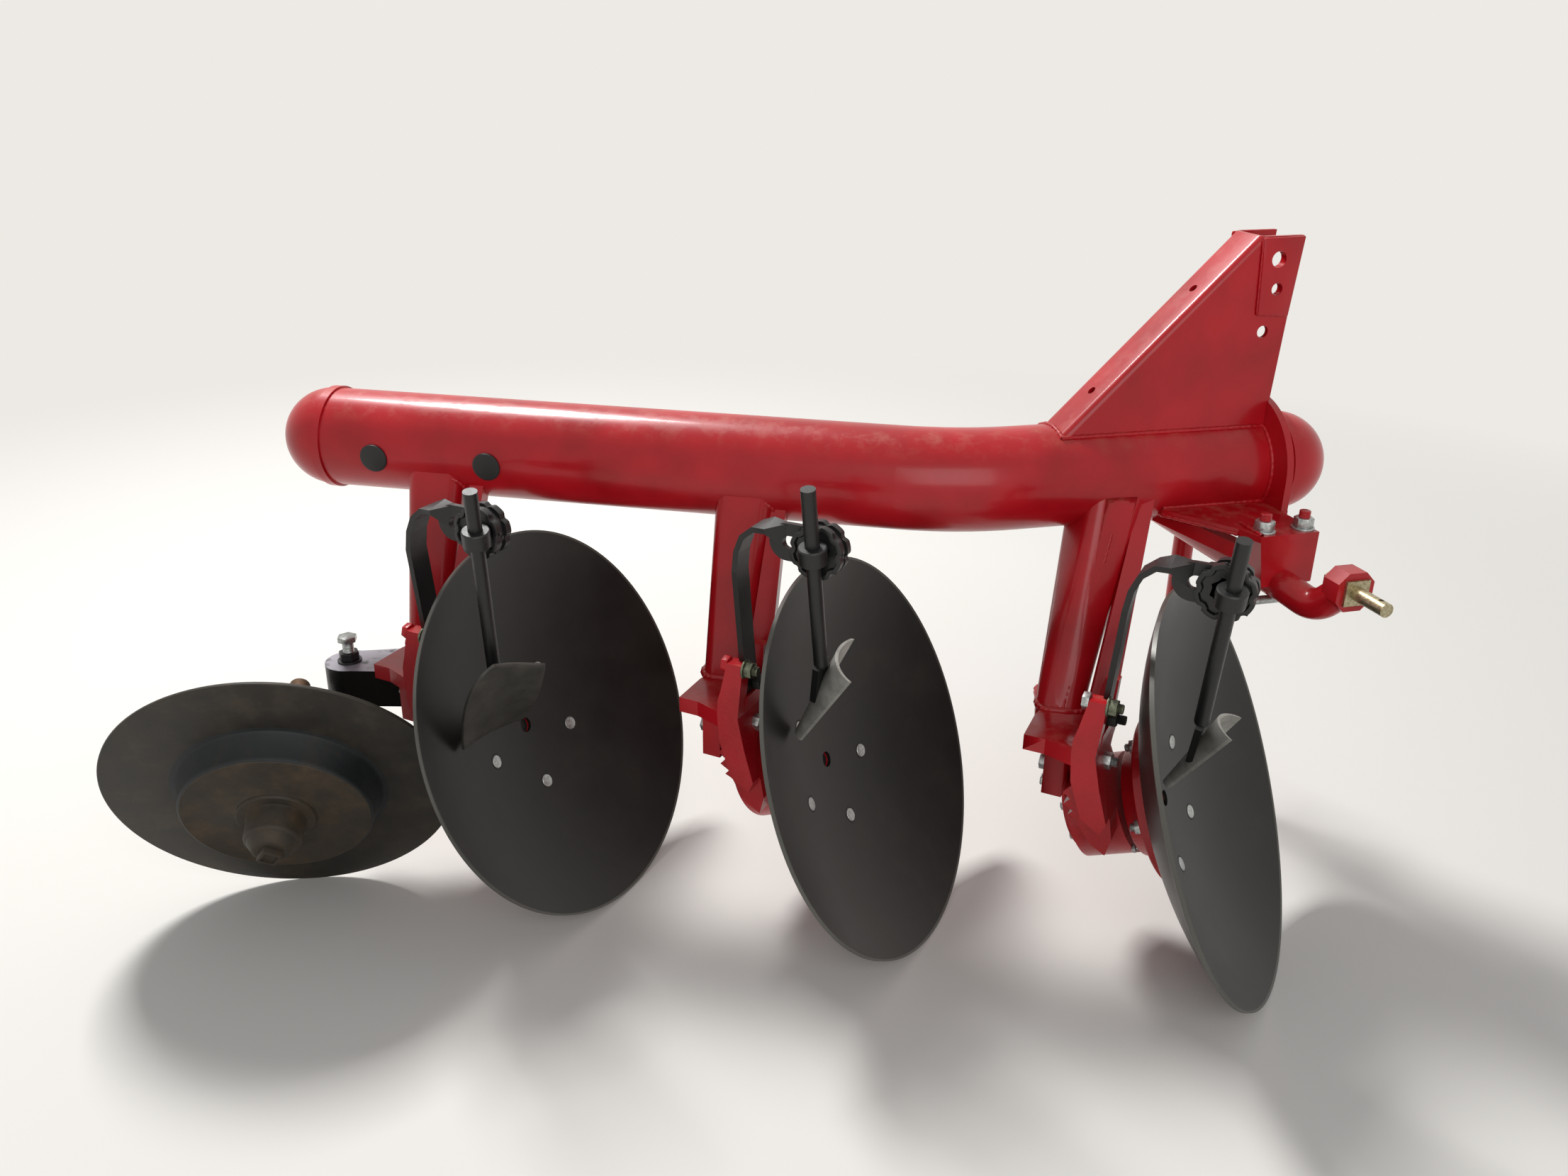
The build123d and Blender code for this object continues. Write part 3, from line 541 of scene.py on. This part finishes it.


# Black for the blackened slot bolts, and as painted shade in the countersink rings and the hub bore ends
black_and_gap_shade, tree = new_material("black_phosphate_and_painted_gap_shade")
place = put(tree, "ShaderNodeTexCoord")
grain = put(tree, "ShaderNodeTexNoise", {"Vector": place.outputs["Object"], "Scale": 500.0, "Detail": 3.0})
tone = put(tree, "ShaderNodeValToRGB", {
    "Fac": grain.outputs["Fac"],
}, stops=[(0.3, "0B0B0B"), (0.7, "191817")])
shader = put(tree, "ShaderNodeBsdfPrincipled", {"Base Color": tone.outputs[0], "Roughness": 0.6})
put(tree, "ShaderNodeOutputMaterial", {"Surface": shader.outputs[0]})

bottoms = {}
for place in ("rear", "middle", "front"):
    hub = joints[place + "_disc_turn"]
    centre = Vector(hub["pos_m"])
    axis = Vector(hub["axis"]).normalized()
    climb = axis.cross(aside).normalized()
    bottoms[place] = (centre, axis, climb)
    sphere_middle = centre + axis * (sphere_radius - disc_depth)
    heads = []
    gap_shade_rings = []
    for index in range(5):
        turn = math.radians(bolt_first[place] + bolt_step * index)
        out = aside * math.cos(turn) + climb * math.sin(turn)
        sink = sphere_radius - disc_depth - math.sqrt(sphere_radius ** 2 - bolt_reach ** 2)
        spot = centre + out * bolt_reach + axis * sink
        normal = (sphere_middle - spot).normalized()
        crown = [(-0.003, 0.0105), (0.0004, 0.0112), (0.0010, 0.0106), (0.0014, 0.0070), (0.0015, 0.0)]
        heads.append(turned(spot, normal, [(-0.003, 0.0)] + crown, 28))
        # A black ring round each head, painted shade in the countersink gap
        ring = [
            (-0.0030, 0.0108), (0.0004, 0.0110), (0.0007, 0.0124), (0.0004, 0.0140), (-0.0030, 0.0142),
            (-0.0030, 0.0108),
        ]
        gap_shade_rings.append(turned(spot, normal, ring, 28))
    shaped(joined(*heads), "disc_bolts_" + place, zinc, place + "_disc")
    shaped(joined(*gap_shade_rings), "disc_bolt_gap_shade_" + place, black_and_gap_shade, place + "_disc")

# Hubs, cast iron turned on the face that takes the disc, a flange with a bearing bell
# behind it, and zinc nuts with spring washers on the five disc bolts


def hexagon(spot, axis, across, length, turn=0.0, sides=6):
    axis = Vector(axis).normalized()
    place = axis.to_track_quat("Z", "Y") @ Quaternion((0.0, 0.0, 1.0), turn)
    bpy.ops.object.select_all(action="DESELECT")
    bpy.ops.mesh.primitive_cylinder_add(
        vertices=sides, radius=across / 2 / math.cos(math.pi / sides), depth=length,
        location=Vector(spot) + axis * length / 2,
        rotation=place.to_euler(),
    )
    made = bpy.context.object
    bevelled(made, across * 0.045, 30.0)
    return made


def thread(spot, axis, radius, length, pitch=0.002):
    outline = [(0.0, 0.0), (0.0, radius - 0.0006)]
    for index in range(int(length / pitch)):
        outline.extend([(pitch * (index + 0.45), radius), (pitch * (index + 0.95), radius - 0.0008)])
    outline.extend([(length, radius - 0.0010), (length, 0.0)])
    return turned(spot, axis, outline, 20)


hub_outline = (
    (-0.108, 0.0), (-0.108, 0.013), (-0.1012, 0.0145), (-0.1002, 0.040), (-0.0964, 0.080), (-0.0920, 0.110),
    (-0.0874, 0.1340), (-0.0885, 0.1352), (-0.1010, 0.1352), (-0.1030, 0.1335), (-0.1036, 0.1240),
    (-0.1042, 0.0960), (-0.1062, 0.0920), (-0.1100, 0.0900), (-0.1340, 0.0885), (-0.1365, 0.0868),
    (-0.1372, 0.0800), (-0.1420, 0.0545), (-0.1420, 0.0),
)
for place, (centre, axis, climb) in bottoms.items():
    hub = turned(centre, axis, hub_outline, 96)
    hub = shaped(hub, "hub_casting_" + place, cast_enamel, place + "_disc")
    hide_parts("hub_" + place)
    nuts = []
    for index in range(5):
        turn = math.radians(bolt_first[place] + bolt_step * index)
        spot = centre + (aside * math.cos(turn) + climb * math.sin(turn)) * 0.1085 - axis * 0.1038
        washer = [(-0.0005, 0.0), (-0.0005, 0.0125), (0.0020, 0.0125), (0.0026, 0.0118), (0.0026, 0.0)]
        nuts.append(turned(spot, -axis, washer, 24))
        nuts.append(hexagon(spot - axis * 0.0025, -axis, 0.021, 0.0105, index))
        nuts.append(thread(spot - axis * 0.0125, -axis, 0.0066, 0.0085))
    shaped(joined(*nuts), "hub_nuts_" + place, zinc, place + "_disc")
    # A black disc in the hub bore, painted shade seen through the disc's middle hole
    spigot = [(-0.1085, 0.0), (-0.1085, 0.0134), (-0.1040, 0.0134), (-0.1030, 0.0122), (-0.1030, 0.0)]
    spigot = turned(centre, axis, spigot, 40)
    shaped(spigot, "hub_bore_shade_" + place, black_and_gap_shade, place + "_disc")

# Bolts of each hub casting, one through the lug over the scraper arm, one through the
# slot of the far lug, two on the block, one on the toothed face, a seal stud by the
# flange and six round the rear cover, zinc plated or blackened


def on_knuckle(name, e, p, z):
    return bottoms[name][0] + level * (e / 1000) + aside * (p / 1000) + upward * (z / 1000)


for place, (centre, axis, climb) in bottoms.items():
    plated = []
    lug_head = hexagon(on_knuckle(place, -198.0, -137.5, 176.0), -level, 0.024, 0.011, 0.3)
    if place == "front":
        plated.append(lug_head)
    else:
        shaped(lug_head, "lug_bolt_head_" + place, cast_enamel, "frame")
    olive = [
        round_stock(on_knuckle(place, -172.0, -137.5, 174.0), level, 0.0155, 0.0032, 28, 0.0006),
        hexagon(on_knuckle(place, -169.0, -137.5, 174.0), level, 0.024, 0.013, 0.1),
        thread(on_knuckle(place, -157.0, -137.5, 174.0), level, 0.0080, 0.009),
    ]
    shaped(joined(*olive), "lug_nut_" + place, olive_zinc, "frame")
    plated.append(hexagon(on_knuckle(place, -262.0, -92.0, 32.0), -level, 0.024, 0.011, 0.6))
    plated.append(hexagon(on_knuckle(place, -262.0, -92.0, -2.0), -level, 0.017, 0.007, 0.2))
    plated.append(hexagon(on_knuckle(place, -175.0, -98.0, 62.0), level, 0.024, 0.013, 0.5))
    plated.append(thread(on_knuckle(place, -162.0, -98.0, 62.0), level, 0.0080, 0.010))
    seal = centre + aside * -0.062 - climb * 0.052 - axis * 0.149
    plated.append(hexagon(seal, axis, 0.013, 0.006, 0.2))
    plated.append(thread(seal, axis, 0.0042, 0.009, 0.0013))
    shaped(joined(*plated), "casting_bolts_" + place, zinc, "frame")
    cover = []
    for index in range(6):
        turn = math.radians(30.0 + 60.0 * index)
        spot = centre + (aside * math.cos(turn) + climb * math.sin(turn)) * 0.054 - axis * 0.2438
        cover.append(hexagon(spot, -axis, 0.013, 0.0055, index * 0.4))
    shaped(joined(*cover), "cover_bolts_" + place, zinc, "frame")
    slot_bolt = joined(
        hexagon(on_knuckle(place, -176.0, -94.0, 134.0), level, 0.024, 0.014, 0.2),
        thread(on_knuckle(place, -162.0, -94.0, 134.0), level, 0.0078, 0.013),
    )
    shaped(slot_bolt, "slot_bolt_" + place, black_and_gap_shade, "frame")

# Discs, hot-pressed boron steel with a dark graphite coat, which gives the eye a soft
# sheen, a fine spun grain round the middle and a narrow edge ground bright


def graphite_disc(name, centre, axis):
    material, tree = new_material(name)
    place = put(tree, "ShaderNodeTexCoord")
    at = place.outputs["Object"]
    from_middle = put(tree, "ShaderNodeVectorMath", {0: at, 1: centre}, operation="SUBTRACT")
    along = put(tree, "ShaderNodeVectorMath", {0: from_middle.outputs[0], 1: axis}, operation="DOT_PRODUCT")
    lift = put(tree, "ShaderNodeVectorMath", {0: axis}, operation="SCALE")
    tree.links.new(along.outputs["Value"], lift.inputs["Scale"])
    out = put(tree, "ShaderNodeVectorMath", {
        0: from_middle.outputs[0], 1: lift.outputs[0],
    }, operation="SUBTRACT")
    reach = put(tree, "ShaderNodeVectorMath", {0: out.outputs[0]}, operation="LENGTH")
    rings = put(tree, "ShaderNodeTexNoise", {
        "W": reach.outputs["Value"], "Scale": 420.0, "Detail": 3.0,
    }, noise_dimensions="1D")
    cloud = put(tree, "ShaderNodeTexNoise", {"Vector": at, "Scale": 7.0, "Detail": 6.0, "Roughness": 0.6})
    tone = put(tree, "ShaderNodeValToRGB", {
        "Fac": cloud.outputs["Fac"],
    }, stops=[(0.3, "1A1918"), (0.55, "232220"), (0.78, "312E2A")])
    edge = put(tree, "ShaderNodeMapRange", {
        "Value": reach.outputs["Value"], "From Min": 0.3262, "From Max": 0.3272,
    })
    colour = put(tree, "ShaderNodeMix", {
        0: edge.outputs[0], 6: tone.outputs[0], 7: linear("55544F"),
    }, data_type="RGBA")
    rough = put(tree, "ShaderNodeMapRange", {"Value": cloud.outputs["Fac"], "To Min": 0.30, "To Max": 0.50})
    bump = put(tree, "ShaderNodeBump", {"Height": rings.outputs["Fac"], "Strength": 0.06, "Distance": 0.0006})
    grain = put(tree, "ShaderNodeTexNoise", {"Vector": at, "Scale": 300.0, "Detail": 3.0})
    bump = put(tree, "ShaderNodeBump", {
        "Height": grain.outputs["Fac"], "Strength": 0.08, "Distance": 0.0004, "Normal": bump.outputs[0],
    })
    shader = put(tree, "ShaderNodeBsdfPrincipled", {
        "Base Color": colour.outputs[2], "Roughness": rough.outputs[0],
        "Normal": bump.outputs[0], "Metallic": 0.35,
    })
    put(tree, "ShaderNodeOutputMaterial", {"Surface": shader.outputs[0]})
    return material


for place in bottoms:
    hub = joints[place + "_disc_turn"]
    coat = graphite_disc("graphite_coat_on_boron_steel_" + place, hub["pos_m"], hub["axis"])
    finish_node("disc_" + place, coat)

# Scraper arms and stems, forged and bent flat bar in thin black paint, rubbed dull grey
# in spots where hands and spanners touch it, over a faintly scaled surface


def thin_black(name, dark, wear_and_sheen, cast_mm):
    material, tree = new_material(name)
    place = put(tree, "ShaderNodeTexCoord")
    at = place.outputs["Object"]
    scale = put(tree, "ShaderNodeTexNoise", {"Vector": at, "Scale": 1000.0 / cast_mm, "Detail": 6.0})
    rub = put(tree, "ShaderNodeTexNoise", {"Vector": at, "Scale": 45.0, "Detail": 8.0, "Roughness": 0.75})
    tone = put(tree, "ShaderNodeValToRGB", {
        "Fac": rub.outputs["Fac"],
    }, stops=[(0.45, dark), (0.62, dark), (0.72, wear_and_sheen)])
    rough = put(tree, "ShaderNodeMapRange", {"Value": rub.outputs["Fac"], "To Min": 0.30, "To Max": 0.55})
    bump = put(tree, "ShaderNodeBump", {"Height": scale.outputs["Fac"], "Strength": 0.25, "Distance": 0.0008})
    shader = put(tree, "ShaderNodeBsdfPrincipled", {
        "Base Color": tone.outputs[0], "Roughness": rough.outputs[0], "Normal": bump.outputs[0],
    })
    put(tree, "ShaderNodeOutputMaterial", {"Surface": shader.outputs[0]})
    return material


black_paint = thin_black("thin_black_paint_on_forged_bar", "141414", "2B2A28", 3.0)
cast_black = thin_black("thin_black_paint_on_cast_iron", "161616", "35332F", 2.0)
for name in frame["nodes"]:
    if name.startswith(("scraper_arm", "scraper_stem")):
        finish_node(name, black_paint)
    if name.startswith(("scraper_clamp", "wheel_knuckle")):
        finish_node(name, cast_black)

# Scraper clamps, two dished iron castings with scalloped rims that lock face to face
# on the slotted eye under one bolt, with a ring cast on for the stem
rosettes = {"rear": (-24.0, -146.0, 390.0), "middle": (-42.0, -146.0, 403.0), "front": (-22.0, -146.0, 397.0)}
clamp_back = {"rear": 0.002, "middle": 0.003, "front": 0.009}
stem_lines = {
    "rear": ((1.7, -200.0, 468.0), (-30.4, -140.0, 149.0)),
    "middle": ((-41.6, -200.0, 507.3), (-41.2, -140.0, 215.7)),
    "front": ((-14.1, -200.0, 485.0), (-37.0, -140.0, 186.0)),
}


lobes = 8
lobe_reach = 0.0415
lobe_notch = 0.0042
casting_depth = 0.0115
dish = 0.0045


def scalloped(middle, out, start):
    ring = []
    for index in range(96):
        turn = math.tau * index / 96
        wave = lobe_reach - lobe_notch * max(0.0, math.cos(lobes * turn + start)) ** 2
        ring.append(middle + level * (math.cos(turn) * wave) + upward * (math.sin(turn) * wave))
    made = plate(ring, out * casting_depth)
    shape = bmesh.new()
    shape.from_mesh(made.data)
    shape.faces.ensure_lookup_table()
    outer = [
        face for face in shape.faces
        if len(face.verts) > 8 and (face.calc_center_median() - middle).dot(out) > 0.001
    ]
    rings = ((0.0022, 0.0010), (0.0040, 0.0), (0.0020, -dish), (0.0110, -0.0005), (0.0020, dish * 0.8))
    for width, height in rings:
        bmesh.ops.inset_individual(shape, faces=outer, thickness=width, depth=height)
    shape.to_mesh(made.data)
    shape.free()
    return made


washer_outline = [
    (0.0, 0.020), (0.0, 0.0365), (0.0016, 0.0372), (0.0096, 0.0372), (0.0112, 0.0365), (0.0112, 0.020),
    (0.0, 0.020),
]
collar_outline = [
    (0.0, 0.0113), (0.0, 0.0195), (0.0012, 0.0212), (0.0250, 0.0215), (0.0270, 0.0198), (0.0270, 0.0113),
    (0.0, 0.0113),
]
for place in bottoms:
    middle = on_knuckle(place, *rosettes[place])
    seat = middle - level * clamp_back[place] - upward * 0.004
    near_casting = scalloped(seat - aside * 0.0052, -aside, 0.4)
    far_casting = scalloped(seat + aside * 0.0052, aside, 1.6)
    washer = turned(seat - aside * 0.0056, aside, washer_outline, 48)
    high, low = [on_knuckle(place, *end) for end in stem_lines[place]]
    run = (high - low).normalized()
    grip = low + run * ((middle.z - low.z) / run.z)
    collar = turned(grip - run * 0.0135, run, collar_outline, 48)
    cheek = round_stock(seat - aside * 0.014, grip - seat + aside * 0.005, 0.0150, 0.0250, 32, 0.0015)
    nut = hexagon(seat + aside * 0.0165, aside, 0.024, 0.0125, 0.3)
    end = thread(seat + aside * 0.0285, aside, 0.0078, 0.0110)
    clamp = joined(near_casting, far_casting, washer, collar, cheek, nut, end)
    clamp = shaped(clamp, "scraper_clamp_cast_" + place, cast_black, "frame")
    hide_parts("scraper_clamp_" + place)

# Scraper blades, 5 mm sheet rolled into a cone, painted a light grey on the middle and
# front ones for the light that falls on them, and darker on the rear one as painted shade


def sheet_steel(name, stops, metallic, roughness):
    material, tree = new_material(name)
    place = put(tree, "ShaderNodeTexCoord")
    stretch = put(tree, "ShaderNodeMapping", {
        "Vector": place.outputs["Object"], "Scale": (60.0, 60.0, 700.0),
    })
    drawn = put(tree, "ShaderNodeTexNoise", {"Vector": stretch.outputs[0], "Scale": 1.0, "Detail": 4.0})
    stain = put(tree, "ShaderNodeTexNoise", {
        "Vector": place.outputs["Object"], "Scale": 26.0, "Detail": 8.0, "Roughness": 0.65,
    })
    tone = put(tree, "ShaderNodeValToRGB", {"Fac": stain.outputs["Fac"]}, stops=stops)
    rough = put(tree, "ShaderNodeMapRange", {
        "Value": drawn.outputs["Fac"], "To Min": roughness, "To Max": roughness + 0.2,
    })
    bump = put(tree, "ShaderNodeBump", {"Height": drawn.outputs["Fac"], "Strength": 0.12, "Distance": 0.0003})
    shader = put(tree, "ShaderNodeBsdfPrincipled", {
        "Base Color": tone.outputs[0], "Roughness": rough.outputs[0],
        "Normal": bump.outputs[0], "Metallic": metallic,
    })
    put(tree, "ShaderNodeOutputMaterial", {"Surface": shader.outputs[0]})
    return material


# Lit and shaded copies of one sheet steel: painted light on the middle and front blades, painted shade on the
# rear one
painted_lit_stops = [(0.3, "86847D"), (0.55, "ABA9A2"), (0.75, "C4C2BB")]
painted_shade_stops = [(0.35, "3B3A36"), (0.6, "4C4A45"), (0.78, "5E5B54")]
painted_lit_sheet = sheet_steel("sheet_steel_painted_lit_grey", painted_lit_stops, 0.15, 0.42)
painted_shade_sheet = sheet_steel("sheet_steel_painted_shade_grey", painted_shade_stops, 0.25, 0.34)
for place, sheet in (("rear", painted_shade_sheet), ("middle", painted_lit_sheet), ("front", painted_lit_sheet)):
    finish_node("scraper_blade_" + place, sheet)

blade_rows = 16
blade_columns = 12
right_edge = [on_knuckle("rear", *spot) for spot in ((-59, -40, 5), (-1, -70, 79), (40, -100, 155))]
left_edge = [on_knuckle("rear", *spot) for spot in ((-67, -188, 15), (-33, -205, 123), (12, -190, 186))]


def through(points, part):
    first, second, third = points
    return (
        first * ((1 - part) * (1 - 2 * part))
        + second * (4 * part * (1 - part))
        + third * (part * (2 * part - 1))
    )


shape = bmesh.new()
rows = []
for up in range(blade_rows + 1):
    row = []
    for side in range(blade_columns + 1):
        part = side / blade_columns
        spot = through(right_edge, up / blade_rows).lerp(through(left_edge, up / blade_rows), part)
        row.append(shape.verts.new(spot - level * (0.010 * math.sin(math.pi * part))))
    rows.append(row)
for lower, upper in zip(rows, rows[1:]):
    for index in range(blade_columns):
        shape.faces.new((lower[index], lower[index + 1], upper[index + 1], upper[index]))
blade = linked("blade", shape)
pick(blade)
wall = blade.modifiers.new("wall", "SOLIDIFY")
wall.thickness = 0.005
wall.offset = 0.0
bpy.ops.object.modifier_apply(modifier="wall")
bevelled(blade, 0.0008, 50.0)
blade = shaped(blade, "scraper_blade_rolled_rear", painted_shade_sheet, "frame")
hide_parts("scraper_blade_rear")

# Furrow wheel and its axle, a flat rolled plate with a deep pressed drum, a turned hub
# and a conical nut, plain steel that went brown and blotchy in the open, with mill scale
# left on the drum's wall


def brown_steel(name, stops, roughness):
    material, tree = new_material(name)
    place = put(tree, "ShaderNodeTexCoord")
    at = place.outputs["Object"]
    bloom = put(tree, "ShaderNodeTexNoise", {"Vector": at, "Scale": 14.0, "Detail": 9.0, "Roughness": 0.65})
    grit = put(tree, "ShaderNodeTexNoise", {"Vector": at, "Scale": 420.0, "Detail": 4.0})
    tone = put(tree, "ShaderNodeValToRGB", {"Fac": bloom.outputs["Fac"]}, stops=stops)
    rough = put(tree, "ShaderNodeMapRange", {
        "Value": bloom.outputs["Fac"], "To Min": roughness, "To Max": roughness + 0.25,
    })
    bump = put(tree, "ShaderNodeBump", {"Height": grit.outputs["Fac"], "Strength": 0.35, "Distance": 0.0006})
    shader = put(tree, "ShaderNodeBsdfPrincipled", {
        "Base Color": tone.outputs[0], "Roughness": rough.outputs[0],
        "Normal": bump.outputs[0], "Metallic": 0.3,
    })
    put(tree, "ShaderNodeOutputMaterial", {"Surface": shader.outputs[0]})
    return material


plate_steel = brown_steel("rolled_steel_plate_rusting_brown", [
    (0.3, "24211D"), (0.5, "302C26"), (0.72, "443B30"),
], 0.40)
drum_steel = brown_steel("pressed_drum_under_brown_rust", [
    (0.3, "29251F"), (0.5, "3A3228"), (0.72, "524332"),
], 0.50)
drum_wall_steel = brown_steel("pressed_drum_wall_of_mill_scale", [
    (0.3, "181A1C"), (0.55, "222527"), (0.8, "3A342C"),
], 0.48)
axle_steel = brown_steel("turned_steel_under_brown_rust", [
    (0.3, "3A2C20"), (0.6, "5E4632"), (0.8, "80603F"),
], 0.50)
finish_node("wheel_axle", axle_steel)
wheel_joint = joints["furrow_wheel_turn"]
wheel_centre = Vector(wheel_joint["pos_m"])
wheel_axis = Vector(wheel_joint["axis"]).normalized()
rim_outline = [
    (0.0030, 0.1500), (0.0030, 0.2706), (0.0018, 0.2718), (-0.0018, 0.2718), (-0.0030, 0.2706),
    (-0.0030, 0.1500), (0.0030, 0.1500),
]
rim = turned(wheel_centre, wheel_axis, rim_outline, 128)
shaped(rim, "furrow_wheel_plate", plate_steel, "land_wheel")
wall_outline = [
    (0.0440, 0.1400), (0.0500, 0.1400), (0.0505, 0.1430), (0.0512, 0.1455), (0.0505, 0.1472),
    (0.0485, 0.1486), (0.0440, 0.1495), (0.0080, 0.1578), (0.0042, 0.1615), (0.0030, 0.1680),
    (0.0015, 0.1680), (-0.0036, 0.1600), (-0.0020, 0.1540), (0.0400, 0.1440), (0.0440, 0.1400),
]
wall = turned(wheel_centre, wheel_axis, wall_outline, 128)
wall = shaped(wall, "furrow_wheel_drum", drum_wall_steel, "land_wheel")
wheel_hub_outline = [
    (0.1200, 0.0), (0.1200, 0.0240), (0.1175, 0.0290), (0.1065, 0.0370), (0.1035, 0.0385),
    (0.1025, 0.0405), (0.1000, 0.0428), (0.0970, 0.0440), (0.0660, 0.0450), (0.0605, 0.0470),
    (0.0590, 0.0595), (0.0565, 0.0618), (0.0530, 0.0625), (0.0510, 0.0660), (0.0516, 0.1425),
    (0.0520, 0.1445), (0.0510, 0.1456), (0.0450, 0.1440), (0.0450, 0.0370), (-0.0700, 0.0370),
    (-0.0700, 0.0),
]
hub_face = turned(wheel_centre, wheel_axis, wheel_hub_outline, 128)
stub = hexagon(wheel_centre + wheel_axis * 0.112, wheel_axis, 0.030, 0.020, 0.2, 4)
hollow = hexagon(wheel_centre + wheel_axis * 0.128, wheel_axis, 0.021, 0.010, 0.2, 4)
carve(stub, hollow)
shaped(joined(hub_face, stub), "furrow_wheel_hub", drum_steel, "land_wheel")
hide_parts("furrow_wheel")
axle_outline = [(-0.2000, 0.0), (-0.2000, 0.0165), (-0.2190, 0.0170), (-0.2220, 0.0150), (-0.2225, 0.0)]
axle_end = turned(wheel_centre, wheel_axis, axle_outline, 40)
shaped(axle_end, "wheel_axle_end", axle_steel, "frame")

# Wheel arm and knuckle, black sand-cast iron with a silvery sheen painted in patches on the arm's
# upward faces, with a zinc set bolt, its black lock nut and a yellow coil spring on the pivot under the arm
black_iron_with_painted_sheen, tree = new_material("sand_cast_iron_black_with_painted_sheen")
place = put(tree, "ShaderNodeTexCoord")
sand = put(tree, "ShaderNodeTexNoise", {"Vector": place.outputs["Object"], "Scale": 330.0, "Detail": 6.0})
rub = put(tree, "ShaderNodeTexNoise", {"Vector": place.outputs["Object"], "Scale": 40.0, "Detail": 6.0})
shape_normal = put(tree, "ShaderNodeNewGeometry")
parts = put(tree, "ShaderNodeSeparateXYZ", {0: shape_normal.outputs["Normal"]})
# Upward faces painted a silvery sheen, in random patches
wear_and_sheen = put(tree, "ShaderNodeMapRange", {"Value": parts.outputs["Z"], "From Min": 0.5, "From Max": 0.95})
patchy = put(tree, "ShaderNodeMapRange", {"Value": rub.outputs["Fac"], "From Min": 0.30, "From Max": 0.46})
painted_sheen_patches = put(tree, "ShaderNodeMath", {0: wear_and_sheen.outputs[0], 1: patchy.outputs[0]}, operation="MULTIPLY")
colour = put(tree, "ShaderNodeMix", {
    0: painted_sheen_patches.outputs[0], 6: linear("171717"), 7: linear("A39FA8"),
}, data_type="RGBA")
bump = put(tree, "ShaderNodeBump", {"Height": sand.outputs["Fac"], "Strength": 0.5, "Distance": 0.0012})
shader = put(tree, "ShaderNodeBsdfPrincipled", {
    "Base Color": colour.outputs[2], "Roughness": 0.38, "Normal": bump.outputs[0], "Metallic": 0.35,
})
put(tree, "ShaderNodeOutputMaterial", {"Surface": shader.outputs[0]})
finish_node("wheel_arm", black_iron_with_painted_sheen)

pivot_spot = ground_place + Vector((-0.930, -0.150, 0.0))
arm_top = 0.376
pivot = joined(
    thread(pivot_spot + upward * 0.256, upward, 0.0098, 0.1590, 0.0025),
    hexagon(pivot_spot + upward * 0.414, upward, 0.030, 0.0100, 0.35),
)
pivot = shaped(pivot, "wheel_pivot_bolt", zinc, "frame")
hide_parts("wheel_pivot")
lock_nut = joined(
    hexagon(pivot_spot + upward * (arm_top + 0.003), upward, 0.031, 0.0155, 0.7),
    round_stock(pivot_spot + upward * (arm_top - 0.001), upward, 0.0205, 0.0045, 32, 0.0008),
)
shaped(lock_nut, "wheel_pivot_lock_nut", cast_black, "frame")
coil = []
coil_turns = 3
coil_steps = 36
coil_radius = 0.0362
coil_pitch = 0.0145
for index in range(coil_turns * coil_steps + 1):
    turn = math.tau * index / coil_steps
    height = 0.303 - coil_pitch * index / coil_steps
    coil.append(pivot_spot + Vector((math.cos(turn) * coil_radius, math.sin(turn) * coil_radius, height)))
spring = bead("wheel_pivot_spring", coil, 0.0036, False)
spring.data.materials.clear()
spring.data.materials.append(yellow_zinc)

# Plugs pressed into the near side of the beam, moulded black polythene with a
# slightly domed head and a fine satin grain
plug_plastic, tree = new_material("black_moulded_polythene")
place = put(tree, "ShaderNodeTexCoord")
grain = put(tree, "ShaderNodeTexNoise", {"Vector": place.outputs["Object"], "Scale": 900.0, "Detail": 2.0})
tone = put(tree, "ShaderNodeValToRGB", {
    "Fac": grain.outputs["Fac"],
}, stops=[(0.3, "121212"), (0.7, "1B1B1B")])
bump = put(tree, "ShaderNodeBump", {"Height": grain.outputs["Fac"], "Strength": 0.2, "Distance": 0.0002})
shader = put(tree, "ShaderNodeBsdfPrincipled", {
    "Base Color": tone.outputs[0], "Roughness": 0.5, "Normal": bump.outputs[0],
})
put(tree, "ShaderNodeOutputMaterial", {"Surface": shader.outputs[0]})
plug_slope = math.radians(5.5)
plug_out = Vector((0.0, -math.cos(plug_slope), -math.sin(plug_slope)))
plug_outline = [
    (-0.002, 0.0), (-0.002, 0.0235), (0.0012, 0.0240), (0.0022, 0.0236), (0.0028, 0.0222), (0.0029, 0.0190),
    (0.0035, 0.0150), (0.0041, 0.0080), (0.0043, 0.0),
]
plugs = []
for plug_x in (-0.8783, -0.6762):
    seat = ground_place + Vector((plug_x, 0.0, beam_level)) + plug_out * beam_radius
    plugs.append(turned(seat, plug_out, plug_outline, 56))
plugs = shaped(joined(*plugs), "beam_plugs_moulded", plug_plastic, "frame")
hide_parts("tube_plugs")

# Bracket bolts that hold the cross shaft, M18 zinc nuts on round washers over the
# plated rods, whose ends were caught by the red spray
bolt_line = (434.0, 504.0)
bracket_top = 690.0
for name, side in (("near", -1), ("far", 1)):
    finish_node("shaft_clamp_" + name, zinc)
    finish_node("lower_pin_" + name, yellow_zinc)
    nuts = []
    tips = []
    for u in bolt_line:
        spot = hitch_spot(u, side * 202.0, bracket_top)
        nuts.append(round_stock(spot - upward * 0.001, upward, 0.0180, 0.0042, 36, 0.0007))
        nuts.append(hexagon(spot + upward * 0.0030, upward, 0.0275, 0.0155, u))
        tips.append(thread(spot + upward * 0.0170, upward, 0.0090, 0.0125, 0.0025))
    shaped(joined(*nuts), "bracket_nuts_" + name, zinc, "frame")
    shaped(joined(*tips), "bracket_bolt_ends_" + name, cast_enamel, "frame")

bpy.context.scene.view_settings.view_transform = "Standard"
